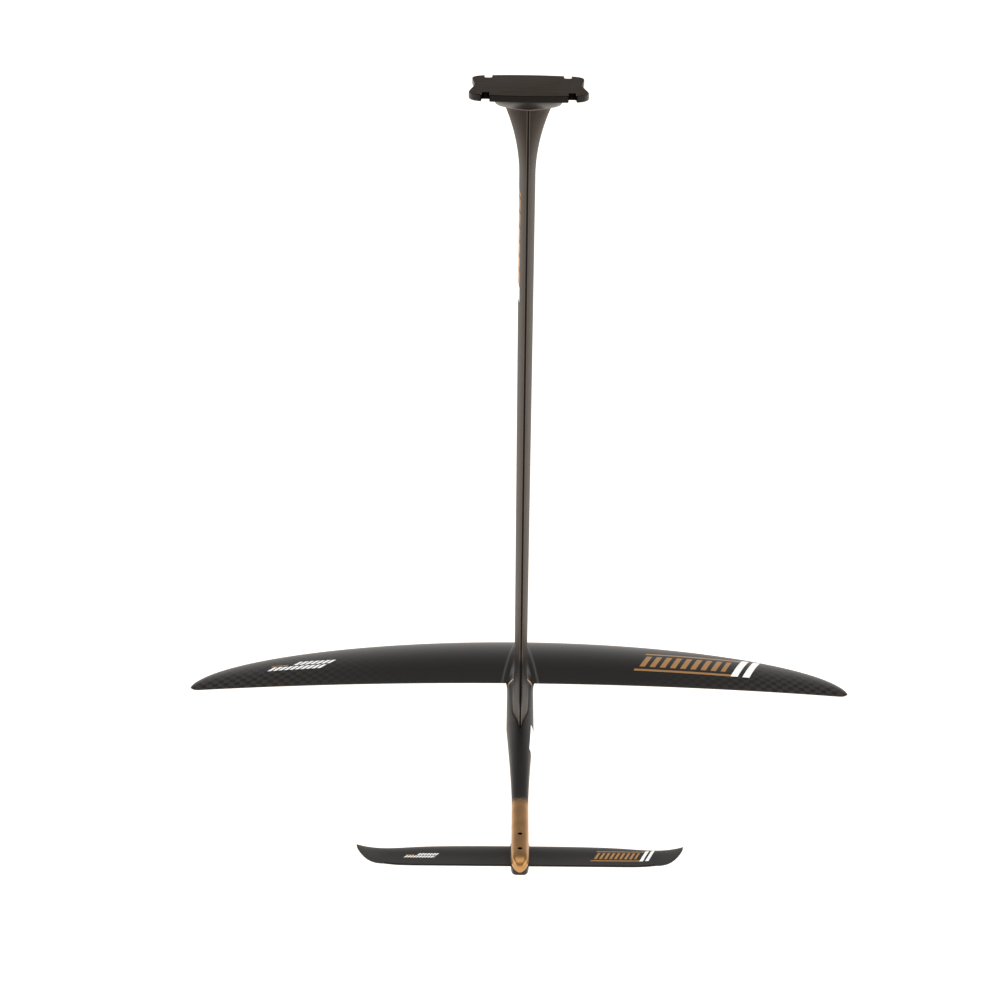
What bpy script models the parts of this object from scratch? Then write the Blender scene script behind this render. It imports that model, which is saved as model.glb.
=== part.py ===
"""Hydrofoil: a mast with its top plate, a fuselage, a front wing and a rear wing, bolted together.

Metres, +Z up. The origin is the centre of the plate's top face, which bolts under a board.
+Y is the direction of travel and +X is to the right of it, so the foil hangs below the origin.
"""
import math

import bmesh
import bpy
import numpy as np

MM = 0.001
GAP = 0.3 * MM                      # between pieces that touch
RUNNING = 0.3 * MM                  # between a screw and what it passes through, on the radius

# Mast plate
PLATE_EDGE = 7.2 * MM               # thickness of its ears
PLATE_EAR_HALF = 62.8 * MM          # half its width at the ears
PLATE_WAIST_HALF = 58.9 * MM        # half its width at the waist
PLATE_LENGTH = 226.0 * MM
PLATE_CORNER_LONG = 28.0 * MM       # the ears' rounded corners, fore and aft
PLATE_CORNER_WIDE = 16.0 * MM       # and across
PLATE_CROWN = 8.5 * MM              # how far the end edges bulge
PLATE_CHAMFER = 1.4 * MM
SLOT_SPACING_WIDE = 90.0 * MM       # between the slots' centres, across
SLOT_SPACING_LONG = 165.0 * MM      # between the slots' inner arcs' centres, fore and aft
SLOT_WIDTH = 8.5 * MM
BOSS_DEPTH = 20.0 * MM              # from the plate's top face to the underside of the boss
BOSS_TOP = 2.4 * MM                 # its rear face starts this far below the plate's top
BOSS_HALF_WIDTH = 38.0 * MM
BOSS_END_INSET = 0.6 * MM           # between the boss's ends and the plate's
BOSS_CORNER = 8.0                   # superellipse power of its corners, from above
BOSS_STEPS = ((0.0, 0.0, 0.0), (0.08, 0.06, 0.15), (0.15, 0.20, 0.40), (0.22, 0.44, 0.65),
              (0.34, 0.68, 0.82), (0.57, 0.87, 0.93), (1.0, 1.0, 1.0))

# Mast
MAST_LENGTH = 731.0 * MM            # from the plate's top face to the fuselage's top
HEAD_HALF_WIDTH = 30.0 * MM         # where it meets the boss
HEAD_POWERS = (1.2, 2.0)            # of the head's pointed lens, across and along
HEAD_FLARE = 78.0 * MM              # height over which the head widens
HEAD_LIP = 4.0 * MM                 # height of the sharper flare at the very top
HEAD_LIP_WIDTH = 4.0 * MM
MAST_THICK_TOP = 18.5 * MM
MAST_THICK_LOW = 14.5 * MM
MAST_TE_TOP = -56.0 * MM            # trailing edge
MAST_TE_LOW = -62.0 * MM
MAST_LE_TOP = 66.0 * MM             # leading edge
MAST_LE_LOW = 56.0 * MM
MAST_TE_THICK = 2.2 * MM
MAST_TE_SETTLED = 0.25              # the trailing edge runs straight down after this share of the blade
BLADE_POWER = 0.75                  # how the blade's width grows from its trailing edge
FOOT_FLARE = 42.0 * MM              # the foot starts to widen at this height
FOOT_RISE = 26.0 * MM               # and is at full width this much lower
FOOT_HALF_WIDTH = 9.0 * MM
FOOT_WEDGE = 0.42                   # share of the foot's chord that is a straight wedge
FOOT_NOSE_POWER = 2.5               # how its nose closes ahead of the wedge
TENON_HALF_WIDTH = 12.0 * MM        # the mast's tenon in the plate's pocket
TENON_POWER = 0.65
TENON_INSET = 10.0 * MM             # shorter than the mast by this, at each end
TENON_HEIGHT = 13.0 * MM
CORE_WALL = 2.5 * MM                # laminate around the foam core
CORE_TE_INSET = 14.0 * MM
CORE_LE_INSET = 14.0 * MM
CORE_FOOT = 42.0 * MM               # solid laminate above the fuselage's top

# Fuselage
FUSE_RADIUS = 16.5 * MM
TAIL_HALF_WIDTH = 9.2 * MM
TAIL_TOP_DROP = 6.0 * MM            # the tail's top lies lower than the body's
TAIL_HEIGHT = 14.0 * MM
BODY_REAR_Y = -40.0 * MM            # the full section ends here and the taper begins
TAPER_LENGTH = 185.0 * MM
TAPER_POWER = 1.3                   # more than 1 narrows it sooner
SHOULDER_Y = 70.0 * MM              # front face, against the seal
TAIL_END_Y = -369.5 * MM
TAIL_ROUND = 20.0 * MM              # length of the tail's rounded end
TAIL_CUT = 0.985                    # where the rounding stops short of a point
TAIL_END_POWER = 3.0                # 2 is an ellipse; more is squarer
TAIL_BLUNT = 0.25                   # share of the tail's height left at its very end
POCKET_DEPTH = 10.0 * MM            # for the mast's foot
POCKET_CLEARANCE = 0.5 * MM

# Spigot on the fuselage's front, in the front wing's socket
SPIGOT_END_Y = 150.0 * MM
SPIGOT_HALF_WIDTH = 9.0 * MM
SPIGOT_TIP_HALF_WIDTH = 7.0 * MM
SPIGOT_HALF_HEIGHT = 7.0 * MM
SPIGOT_TIP_HALF_HEIGHT = 5.0 * MM
SEAL_THICK = 4.6 * MM
RING_THICK = 2.5 * MM
RING_BORE = 12.6 * MM               # radius

# Front wing
WING_HALF_SPAN = 416.5 * MM
WING_CHORD = 127.0 * MM
WING_TE_Y = 88.0 * MM
WING_TE_SWEEP = 12.8 * MM           # forward at the tips
WING_RAISE = 3.5 * MM               # the trailing edge lies above the fuselage's axis
WING_ANHEDRAL = 20.5 * MM
WING_THICKNESS = 0.125              # of the chord
WING_CAMBER = 0.025                 # of the chord
WING_EDGE = 1.2 * MM                # thickness of the trailing edge
WING_TIP_CLOSING = 0.9992           # 1 would close the tip to a point
WING_TIP_POWER = 0.45               # how the chord closes towards the tip; a smaller power is blunter
WING_TIP_ROUND = 8.0 * MM           # the trailing edge curves forwards by this at the very tip
WING_ROUND_FROM = 0.965             # from this share of the half-span
SECTION_POWER = 0.95                # how a section thickens from its trailing edge
SECTION_PEAK = 0.391                # its greatest value, so that the thickness asked for is reached
HUB_END_Y = 206.0 * MM              # where the hub has sunk into the wing
HUB_FRONT_HALF_WIDTH = 7.0 * MM
HUB_FRONT_HALF_HEIGHT = 4.0 * MM
HUB_FILLET = 7.0 * MM
HUB_SPREAD = 26.0 * MM              # the fillet's reach past the hub's side
HUB_CORNER = 3.0 * MM               # between the hub's side and the trailing edge, from above
HUB_WIDTH_POWER = 0.8               # how the hub draws in ahead of the joint, across
HUB_HEIGHT_POWER = 1.6              # and in height
HUB_SIDE_SLOPE = 3.0                # how steeply the hub falls away beside its section
HUB_SUNK_FROM = 0.72                # share of the chord where it starts to sink into the wing

# Rear wing
REAR_HALF_SPAN = 169.5 * MM
REAR_LE_Y = -304.8 * MM
REAR_CHORD = 41.2 * MM
REAR_SWEEP = 4.0 * MM               # of the leading edge over the whole half-span
REAR_TIP_SWEEP = 20.4 * MM          # and more at the tip alone
REAR_TIP_SWEEP_POWER = 5.6
REAR_TIP_RAKE = 8.0 * MM            # the trailing edge reaches back near the tips
REAR_RAKE_FROM = 0.81               # from this share of the half-span
REAR_RAKE_OVER = 0.15               # and over this share of it
REAR_CLOSING_FROM = 0.843           # the chord closes from here to the tip
REAR_CLOSING_POWER = 1.7
REAR_THICKNESS = 0.10
REAR_EDGE = 0.9 * MM
REAR_TIP_RISE = 14.6 * MM
REAR_RISE_FROM = 0.6
REAR_RISE_POWER = 3.6
REAR_RAISE = 0.5 * MM               # its mean plane above the middle of the pad
PAD_HALF_WIDTH = 10.5 * MM
PAD_FRONT_Y = -297.0 * MM
PAD_REAR_Y = -358.5 * MM
PAD_HEIGHT = 7.0 * MM
PAD_CORNER = 5.0                    # superellipse power of its corners, from above
PAD_NARROWING = 0.06                # of its half-width, from middle to rear
PAD_EDGE = 1.5 * MM                 # the chamfer round its underside
SHIM_HEIGHT = 2.0 * MM
SHIM_INSET = 2.0 * MM

# Fasteners
MAST_SCREW_YS = {"front": 30.0 * MM, "rear": -20.0 * MM}
MAST_SCREW_RADIUS = 4.0 * MM
MAST_HEAD_RADIUS = 6.5 * MM
MAST_HEAD_HEIGHT = 5.0 * MM
MAST_SEAT_UP = 10.0 * MM            # washer's seat above the fuselage's lowest line
WASHER_THICK = 1.6 * MM
WASHER_RADIUS = 7.4 * MM
MAST_INSERT_RADIUS = 6.0 * MM
MAST_INSERT_LENGTH = 21.0 * MM
WING_SCREW_YS = (92.0 * MM, 116.0 * MM, 140.0 * MM)
WING_SCREW_RADIUS = 3.0 * MM
WING_HEAD_RADIUS = 5.0 * MM
WING_HEAD_HEIGHT = 4.2 * MM
WING_HEAD_SINK = 5.2 * MM           # the head's seat above the hub's lowest line
WING_INSERT_RADIUS = 4.5 * MM
WING_INSERT_LENGTH = 8.0 * MM
REAR_SCREW_YS = {"front": -313.0 * MM, "rear": -344.0 * MM}
REAR_SCREW_RADIUS = 2.5 * MM
REAR_HEAD_RADIUS = 4.5 * MM
REAR_HEAD_HEIGHT = 3.0 * MM
REAR_HEAD_SINK = 3.6 * MM
REAR_INSERT_RADIUS = 4.0 * MM
REAR_INSERT_LENGTH = 9.0 * MM
REAR_HOLE_RADIUS = 2.4 * MM         # open through the tail's top
HEX_SHARE = 0.5                     # hexagon's corner radius as a share of the head's radius
HEX_DEPTH_SHARE = 0.6
HEAD_CHAMFER = 0.3 * MM
TIP_CHAMFER = 0.2                   # of the screw's radius
MAST_SCREW_REACH = 0.8              # share of the insert's length that the screw fills
WING_SCREW_REACH = 0.85

# Mesh fineness
RING_POINTS = 32
BOSS_POINTS = 48
ROUND_STEPS = 18
CHORD_POINTS = 13
SPAN_STATIONS = 11
HUB_LINES = 6

# Derived levels
FUSE_TOP = -MAST_LENGTH
FUSE_AXIS = FUSE_TOP - FUSE_RADIUS
FUSE_BOTTOM = FUSE_AXIS - FUSE_RADIUS
TAIL_TOP = FUSE_TOP - TAIL_TOP_DROP
TAIL_BOTTOM = TAIL_TOP - TAIL_HEIGHT
POCKET_FLOOR = FUSE_TOP - POCKET_DEPTH
HEAD_TOP = -BOSS_DEPTH - GAP
TENON_TOP = HEAD_TOP + TENON_HEIGHT
FOOT_BOTTOM = POCKET_FLOOR + GAP
SEAL_Y = SHOULDER_Y + GAP
RING_Y = SEAL_Y + SEAL_THICK + GAP
HUB_Y = RING_Y + RING_THICK + GAP
SHIM_TOP = TAIL_BOTTOM - GAP
PAD_TOP = SHIM_TOP - SHIM_HEIGHT - GAP
PAD_BOTTOM = PAD_TOP - PAD_HEIGHT

MATERIALS = {
    "plate_black": ((0.022, 0.018, 0.016), 0.45, 0.0),
    "mast_carbon": ((0.085, 0.075, 0.065), 0.40, 0.0),
    "core_foam": ((0.75, 0.70, 0.55), 0.90, 0.0),
    "fuselage_paint": ((0.060, 0.055, 0.050), 0.38, 0.1),
    "wing_carbon": ((0.030, 0.028, 0.028), 0.42, 0.0),
    "gold_ring": ((0.62, 0.42, 0.22), 0.30, 0.9),
    "seal_grey": ((0.14, 0.14, 0.14), 0.60, 0.0),
    "screw_steel": ((0.55, 0.55, 0.56), 0.30, 1.0),
    "insert_brass": ((0.60, 0.45, 0.20), 0.35, 1.0),
    "shim_black": ((0.02, 0.02, 0.02), 0.55, 0.0),
}


def collection(name):
    """A collection of this name under the scene's own."""
    group = bpy.data.collections.new(name)
    bpy.context.scene.collection.children.link(group)
    return group


def material(name):
    """A Principled material from the table above, made once."""
    found = bpy.data.materials.get(name)
    if found:
        return found
    colour, roughness, metallic = MATERIALS[name]
    made = bpy.data.materials.new(name)
    made.use_nodes = True
    shader = made.node_tree.nodes["Principled BSDF"]
    shader.inputs["Base Color"].default_value = (*colour, 1.0)
    shader.inputs["Roughness"].default_value = roughness
    shader.inputs["Metallic"].default_value = metallic
    return made


def part(name, mesh, finish):
    """A visible piece, shaded smooth but for its sharp edges."""
    piece = bpy.data.objects.new(name, mesh)
    mesh.materials.append(material(finish))
    mesh.shade_smooth()
    mesh.set_sharp_from_angle(angle=math.radians(35))
    PARTS.objects.link(piece)
    return piece


def cutter(name, mesh):
    """A solid that is only subtracted from, or added to, a piece."""
    tool = bpy.data.objects.new(name, mesh)
    tool.hide_render = True
    tool.display_type = "WIRE"
    CUTTERS.objects.link(tool)
    return tool


def combine(piece, tool, operation="DIFFERENCE"):
    """Cut the tool out of the piece, or join it on with UNION."""
    step = piece.modifiers.new(tool.name, "BOOLEAN")
    step.operation = operation
    step.object = tool
    step.solver = "EXACT"


def loft(name, rings):
    """A closed mesh through rings of points, each with the same number of points, capped at both ends."""
    count = len(rings[0])
    points = np.concatenate(rings)
    corners = np.arange(count)
    following = (corners + 1) % count
    faces = [tuple(corners)]
    for level in range(len(rings) - 1):
        near = level * count
        far = near + count
        faces += list(zip(corners + near, corners + far, following + far, following + near))
    faces.append(tuple(corners[::-1] + (len(rings) - 1) * count))
    mesh = bpy.data.meshes.new(name)
    mesh.from_pydata(points.tolist(), [], [tuple(int(i) for i in face) for face in faces])
    work = bmesh.new()
    work.from_mesh(mesh)
    bmesh.ops.recalc_face_normals(work, faces=work.faces)
    work.to_mesh(mesh)
    work.free()
    return mesh


def level_ring(outline, z):
    """An outline of x and y, lifted to a height."""
    return np.column_stack([outline, np.full(len(outline), z)])


def prism(name, outline, low, high):
    """An outline carried straight up from low to high."""
    return loft(name, [level_ring(outline, low), level_ring(outline, high)])


def turned(name, profile):
    """A profile of (radius, height), from its top down its outer side, turned about Z."""
    mesh = bpy.data.meshes.new(name)
    points = [(radius, 0.0, height) for radius, height in profile]
    edges = [(i, i + 1) for i in range(len(points) - 1)]
    if profile[0][0] > 0.0:
        edges.append((len(points) - 1, 0))
    mesh.from_pydata(points, edges, [])
    return mesh


def spin(thing):
    """The Screw modifier that turns a profile about the object's own Z."""
    step = thing.modifiers.new("turn", "SCREW")
    step.steps = ROUND_STEPS
    step.render_steps = ROUND_STEPS
    step.use_merge_vertices = True
    step.merge_threshold = 0.01 * MM
    step.use_smooth_shade = True
    return thing


def rod_profile(radius, low, high):
    """A solid round bar."""
    return [(0.0, high), (radius, high), (radius, low), (0.0, low)]


def tube_profile(outer, inner, low, high):
    """A round bar with a hole through it."""
    return [(inner, high), (outer, high), (outer, low), (inner, low)]


def superellipse(half_x, half_y, power_x, power_y, count=RING_POINTS):
    """Points where |x / half_x| ** power_x + |y / half_y| ** power_y is 1."""
    angle = np.arange(count) * 2.0 * math.pi / count
    x = half_x * np.sign(np.cos(angle)) * np.abs(np.cos(angle)) ** (2.0 / power_x)
    y = half_y * np.sign(np.sin(angle)) * np.abs(np.sin(angle)) ** (2.0 / power_y)
    return np.column_stack([x, y])


def plate_outline(inset):
    """One corner of the plate, worked out as side, rounded ear and crowned end, then mirrored four ways."""
    half = PLATE_LENGTH / 2
    ear_y = half - PLATE_CROWN - PLATE_CORNER_LONG
    ear_x = PLATE_EAR_HALF - PLATE_CORNER_WIDE
    run = np.linspace(0.0, ear_y, 9)[1:-1]
    side = PLATE_WAIST_HALF + (PLATE_EAR_HALF - PLATE_WAIST_HALF) * np.sin(run / ear_y * math.pi / 2) ** 2
    turn = np.radians(np.linspace(0.0, 90.0, 8))
    across = np.linspace(ear_x, 0.0, 7)[1:-1]
    x = np.concatenate([side, ear_x + PLATE_CORNER_WIDE * np.cos(turn), across])
    y = np.concatenate([run, ear_y + PLATE_CORNER_LONG * np.sin(turn),
                        half - PLATE_CROWN * (across / ear_x) ** 2])
    quarter = np.column_stack([x, y])
    middle_side = np.array([[PLATE_WAIST_HALF, 0.0]])
    middle_end = np.array([[0.0, half]])
    right = np.concatenate([middle_side, quarter, middle_end])
    back = quarter[::-1] * [-1.0, 1.0]
    upper = np.concatenate([right, back])
    outline = np.concatenate([upper, -upper])
    ahead = np.roll(outline, -1, axis=0) - np.roll(outline, 1, axis=0)
    ahead /= np.linalg.norm(ahead, axis=1)[:, None]
    return outline - inset * np.column_stack([ahead[:, 1], -ahead[:, 0]])


def slot_outline(side, end):
    """A bolt slot, round at its inner end and running out past the plate's edge."""
    half = SLOT_WIDTH / 2
    turn = np.radians(np.linspace(180.0, 360.0, 13))
    inner = np.column_stack([half * np.cos(turn), SLOT_SPACING_LONG / 2 + half * np.sin(turn)])
    outer = np.array([[half, PLATE_LENGTH], [-half, PLATE_LENGTH]])
    outline = np.concatenate([inner, outer]) + [SLOT_SPACING_WIDE / 2, 0.0]
    return outline * [side, end]


def boss_ring(narrowing, drawing_in, z):
    """The boss's section, from a long box under the plate, whose ends follow the plate's crown, to the
    pointed lens of the mast's head."""
    box = superellipse(BOSS_HALF_WIDTH, 1.0, BOSS_CORNER, BOSS_CORNER, BOSS_POINTS)
    crown = PLATE_CROWN * (box[:, 0] / (PLATE_EAR_HALF - PLATE_CORNER_WIDE)) ** 2
    box[:, 1] *= PLATE_LENGTH / 2 - BOSS_END_INSET - crown
    lens = superellipse(HEAD_HALF_WIDTH, 1.0, *HEAD_POWERS, BOSS_POINTS)
    lens[:, 1] *= np.where(lens[:, 1] > 0, MAST_LE_TOP + GAP, -MAST_TE_TOP - GAP)
    x = box[:, 0] + narrowing * (lens[:, 0] - box[:, 0])
    y = box[:, 1] + drawing_in * (lens[:, 1] - box[:, 1])
    return np.column_stack([x, y, np.full(len(x), z)])


def make_plate():
    """The moulded plate: ears with open slots, a sloping boss below and a pocket for the mast's tenon."""
    rings = [level_ring(plate_outline(0.4 * MM), 0.0),
             level_ring(plate_outline(0.0), -0.5 * MM),
             level_ring(plate_outline(0.0), -PLATE_EDGE + PLATE_CHAMFER),
             level_ring(plate_outline(PLATE_CHAMFER), -PLATE_EDGE)]
    plate = part("mast_plate", loft("mast_plate", rings), "plate_black")
    depth = BOSS_DEPTH - BOSS_TOP
    boss = [boss_ring(narrow, draw, -BOSS_TOP - share * depth) for narrow, draw, share in BOSS_STEPS]
    combine(plate, cutter("plate_boss", loft("plate_boss", boss)), "UNION")
    for side in (-1, 1):
        for end in (-1, 1):
            name = "plate_slot_%d_%d" % (side, end)
            combine(plate, cutter(name, prism(name, slot_outline(side, end), -BOSS_DEPTH, BOSS_DEPTH)))
    pocket = prism("plate_pocket", tenon_outline(GAP), HEAD_TOP - BOSS_DEPTH, TENON_TOP + GAP)
    combine(plate, cutter("plate_pocket", pocket))


def chord_shares():
    """Places along a chord from the trailing edge, 0, to the leading edge, 1, closer at both ends."""
    return (1.0 - np.cos(np.linspace(0.0, math.pi, RING_POINTS // 2))) / 2


def blade_shape(share, tail_power):
    """A strut's half width, at most 1: it grows as a power of the way from the trailing edge and
    closes as a root at the leading edge."""
    peak = tail_power / (tail_power + 0.5)
    return share ** tail_power * np.sqrt(1.0 - share) / (peak ** tail_power * math.sqrt(1.0 - peak))


def lens_shape(share):
    """The head's half width, at most 1: the same pointed lens as the bottom of the boss."""
    y = MAST_TE_TOP + share * (MAST_LE_TOP - MAST_TE_TOP)
    along = y / np.where(y > 0, MAST_LE_TOP, -MAST_TE_TOP)
    return (1.0 - np.abs(along) ** HEAD_POWERS[1]) ** (1.0 / HEAD_POWERS[0])


def foot_shape(share):
    """The foot's half width, at most 1: a wedge behind, and a long nose that closes like an ellipse."""
    ramp = np.minimum(share / FOOT_WEDGE, 1.0)
    ramp = ramp * (7.0 - ramp ** 6) / 6.0
    nose = np.clip((share - FOOT_WEDGE) / (1.0 - FOOT_WEDGE), 0.0, 1.0)
    return ramp * np.sqrt(1.0 - nose ** FOOT_NOSE_POWER)


def section_outline(trailing, leading, half_width, edge, shape):
    """A closed outline from a shape of half widths, with a blunt trailing edge of the given thickness."""
    share = chord_shares()
    half = half_width * shape + edge / 2 * (1.0 - share)
    y = trailing + share * (leading - trailing)
    right = np.column_stack([half, y])
    left = np.column_stack([-half, y])
    return np.concatenate([right, left[-2::-1]])


def tenon_outline(grow):
    """The mast's tenon, or with grow the pocket around it."""
    return section_outline(MAST_TE_TOP + TENON_INSET - grow, MAST_LE_TOP - TENON_INSET + grow,
                           TENON_HALF_WIDTH + grow, MAST_TE_THICK + 2 * grow,
                           blade_shape(chord_shares(), TENON_POWER))


def mast_outline(z, thinner=0.0, trailing_inset=0.0, leading_inset=0.0, edge=MAST_TE_THICK):
    """The mast's section at a height, thinner and shorter by the insets for what lies inside."""
    down = min(max((HEAD_TOP - z) / (HEAD_TOP - FUSE_TOP), 0.0), 1.0)
    head = min(max(1.0 - (HEAD_TOP - z) / HEAD_FLARE, 0.0), 1.0)
    lip = min(max(1.0 - (HEAD_TOP - z) / HEAD_LIP, 0.0), 1.0)
    foot = float(smooth_step((FUSE_TOP + FOOT_FLARE - z) / FOOT_RISE))
    half = (MAST_THICK_TOP + down * (MAST_THICK_LOW - MAST_THICK_TOP)) / 2
    half += head ** 2 * (HEAD_HALF_WIDTH - HEAD_LIP_WIDTH - MAST_THICK_TOP / 2)
    half += lip ** 2 * HEAD_LIP_WIDTH
    half += foot * (FOOT_HALF_WIDTH - MAST_THICK_LOW / 2)
    trailing = MAST_TE_TOP + min(down / MAST_TE_SETTLED, 1.0) * (MAST_TE_LOW - MAST_TE_TOP) + trailing_inset
    leading = MAST_LE_TOP + down * (MAST_LE_LOW - MAST_LE_TOP) - leading_inset
    share = chord_shares()
    shape = (1.0 - head - foot) * blade_shape(share, BLADE_POWER)
    shape = shape + head * lens_shape(share) + foot * foot_shape(share)
    return section_outline(trailing, leading, half - thinner - MAST_TE_THICK / 5, edge, shape)


def core_ring(z, grow):
    """The foam core's section at a height, or with grow the hollow around it."""
    outline = mast_outline(min(z, HEAD_TOP - HEAD_FLARE), CORE_WALL - grow, CORE_TE_INSET - grow,
                           CORE_LE_INSET - grow, MAST_TE_THICK / 2 + 2 * grow)
    return level_ring(outline, z)


def make_mast():
    """The carbon mast: tenon, flaring head, tapering blade and flaring foot, hollow for its core."""
    levels = [HEAD_TOP, HEAD_TOP - HEAD_LIP * 0.4, HEAD_TOP - HEAD_LIP]
    levels += [HEAD_TOP - HEAD_FLARE * share for share in (0.12, 0.22, 0.35, 0.5, 0.7, 1.0)]
    levels += [HEAD_TOP - HEAD_FLARE - 0.2 * (MAST_LENGTH - HEAD_FLARE - FOOT_FLARE) * step
               for step in (1, 2, 3, 4)]
    levels += [FUSE_TOP + FOOT_FLARE * share for share in (1.0, 0.8, 0.65, 0.5, 0.35, 0.0)]
    tenon = tenon_outline(0.0)
    rings = [level_ring(tenon, TENON_TOP), level_ring(tenon, HEAD_TOP)]
    rings += [level_ring(mast_outline(z), z) for z in levels]
    rings.append(level_ring(mast_outline(FUSE_TOP), FOOT_BOTTOM))
    mast = part("mast_blade", loft("mast_blade", rings), "mast_carbon")
    core_low = FUSE_TOP + CORE_FOOT
    top = HEAD_TOP - HEAD_FLARE
    hollow = [core_ring(z, GAP) for z in (TENON_TOP + 1.0 * MM, top, (top + core_low) / 2, core_low - GAP)]
    combine(mast, cutter("mast_hollow", loft("mast_hollow", hollow)))
    solid = [core_ring(z, 0.0) for z in (TENON_TOP - GAP, top, (top + core_low) / 2, core_low)]
    part("mast_core", loft("mast_core", solid), "core_foam")
    for place, y in MAST_SCREW_YS.items():
        hole = rod_profile(MAST_INSERT_RADIUS + GAP, FUSE_AXIS, FOOT_BOTTOM + MAST_INSERT_LENGTH + 2 * GAP)
        bore(mast, "mast_bore_" + place, hole, y)


def bore(piece, name, profile, y):
    """Cut a turned profile out of a piece, on the centre line at y."""
    tool = spin(cutter(name, turned(name, profile)))
    tool.location = (0.0, y, 0.0)
    combine(piece, tool)


def fuse_ring(y):
    """The fuselage's section at y: round in the body, a smaller rounded box at the tail."""
    along = min(max((BODY_REAR_Y - y) / TAPER_LENGTH, 0.0), 1.0)
    taper = 1.0 - (1.0 - along) ** TAPER_POWER
    end = min(max((TAIL_END_Y + TAIL_ROUND - y) / TAIL_ROUND, 0.0), TAIL_CUT)
    round_off = math.sqrt(1.0 - end ** TAIL_END_POWER)
    half_width = (FUSE_RADIUS + taper * (TAIL_HALF_WIDTH - FUSE_RADIUS)) * round_off
    top = FUSE_TOP + taper * (TAIL_TOP - FUSE_TOP)
    bottom = FUSE_BOTTOM + taper * (TAIL_BOTTOM - FUSE_BOTTOM)
    top = bottom + (top - bottom) * (TAIL_BLUNT + (1.0 - TAIL_BLUNT) * round_off)
    power = 2.0 + taper
    ring = superellipse(half_width, (top - bottom) / 2, power, power)
    return np.column_stack([ring[:, 0], np.full(len(ring), y), ring[:, 1] + (top + bottom) / 2])


def spigot_ring(y, grow):
    """The spigot's section at y, or with grow the socket around it."""
    share = (y - SHOULDER_Y) / (SPIGOT_END_Y - SHOULDER_Y)
    half_width = SPIGOT_HALF_WIDTH + share * (SPIGOT_TIP_HALF_WIDTH - SPIGOT_HALF_WIDTH) + grow
    ring = superellipse(half_width, spigot_half_height(y) + grow, 4.0, 4.0, 32)
    return np.column_stack([ring[:, 0], np.full(len(ring), y), ring[:, 1] + FUSE_AXIS])


def spigot_half_height(y):
    """Half the spigot's height at y."""
    share = (y - SHOULDER_Y) / (SPIGOT_END_Y - SHOULDER_Y)
    return SPIGOT_HALF_HEIGHT + share * (SPIGOT_TIP_HALF_HEIGHT - SPIGOT_HALF_HEIGHT)


def make_fuselage():
    """The fuselage: tail, body with the mast's pocket, and the spigot that carries the front wing."""
    tail = [TAIL_END_Y + TAIL_ROUND * share for share in (0.015, 0.06, 0.15, 0.3, 0.5, 0.75, 1.0)]
    taper = [BODY_REAR_Y - TAPER_LENGTH * share for share in (1.0, 0.8, 0.6, 0.4, 0.27, 0.15, 0.06, 0.0)]
    rings = [fuse_ring(y) for y in tail + taper + [0.0, SHOULDER_Y]]
    body = part("fuselage", loft("fuselage", rings), "fuselage_paint")
    spigot = loft("spigot", [spigot_ring(y, 0.0) for y in (SHOULDER_Y - RING_BORE, SPIGOT_END_Y)])
    combine(body, cutter("spigot", spigot), "UNION")
    foot = mast_outline(FUSE_TOP)
    middle = np.array([0.0, (MAST_TE_LOW + MAST_LE_LOW) / 2])
    reach = (MAST_LE_LOW - MAST_TE_LOW) / 2
    scale = np.array([1.0 + POCKET_CLEARANCE / FOOT_HALF_WIDTH, 1.0 + 3.0 * POCKET_CLEARANCE / reach])
    pocket = (foot - middle) * scale + middle
    hole = prism("foot_pocket", pocket, POCKET_FLOOR, FUSE_TOP + POCKET_DEPTH)
    combine(body, cutter("foot_pocket", hole))
    seat = FUSE_BOTTOM + MAST_SEAT_UP
    for place, y in MAST_SCREW_YS.items():
        wide = WASHER_RADIUS + RUNNING
        narrow = MAST_SCREW_RADIUS + 2 * RUNNING
        steps = [(0.0, FUSE_AXIS + FUSE_RADIUS), (narrow, FUSE_AXIS + FUSE_RADIUS), (narrow, seat),
                 (wide, seat), (wide, FUSE_BOTTOM - POCKET_DEPTH), (0.0, FUSE_BOTTOM - POCKET_DEPTH)]
        bore(body, "mast_seat_" + place, steps, y)
    for number, y in enumerate(WING_SCREW_YS, 1):
        low = FUSE_AXIS - spigot_half_height(y)
        hole = rod_profile(WING_INSERT_RADIUS + GAP, low - POCKET_DEPTH, low + WING_INSERT_LENGTH + 2 * GAP)
        bore(body, "spigot_bore_%d" % number, hole, y)
    for place, y in REAR_SCREW_YS.items():
        wide = REAR_INSERT_RADIUS + GAP
        shelf = TAIL_BOTTOM + REAR_INSERT_LENGTH + 2 * GAP
        steps = [(0.0, FUSE_TOP), (REAR_HOLE_RADIUS, FUSE_TOP), (REAR_HOLE_RADIUS, shelf), (wide, shelf),
                 (wide, TAIL_BOTTOM - TAIL_HEIGHT), (0.0, TAIL_BOTTOM - TAIL_HEIGHT)]
        bore(body, "tail_bore_" + place, steps, y)


def smooth_max(first, second, reach):
    """The larger of two heights, with a fillet where they are within reach of each other."""
    near = np.maximum(0.0, 1.0 - np.abs(first - second) / reach)
    return np.maximum(first, second) + near * near * reach / 4


def smooth_step(value):
    """0 to 1 with level ends."""
    value = np.clip(value, 0.0, 1.0)
    return value * value * (3.0 - 2.0 * value)


def hub_half_width(y):
    """Half the hub's width at y: full at the joint, drawn in ahead of it."""
    share = np.clip((y - HUB_Y) / (HUB_END_Y - HUB_Y), 0.0, 1.0)
    return FUSE_RADIUS + (HUB_FRONT_HALF_WIDTH - FUSE_RADIUS) * share ** HUB_WIDTH_POWER


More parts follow.
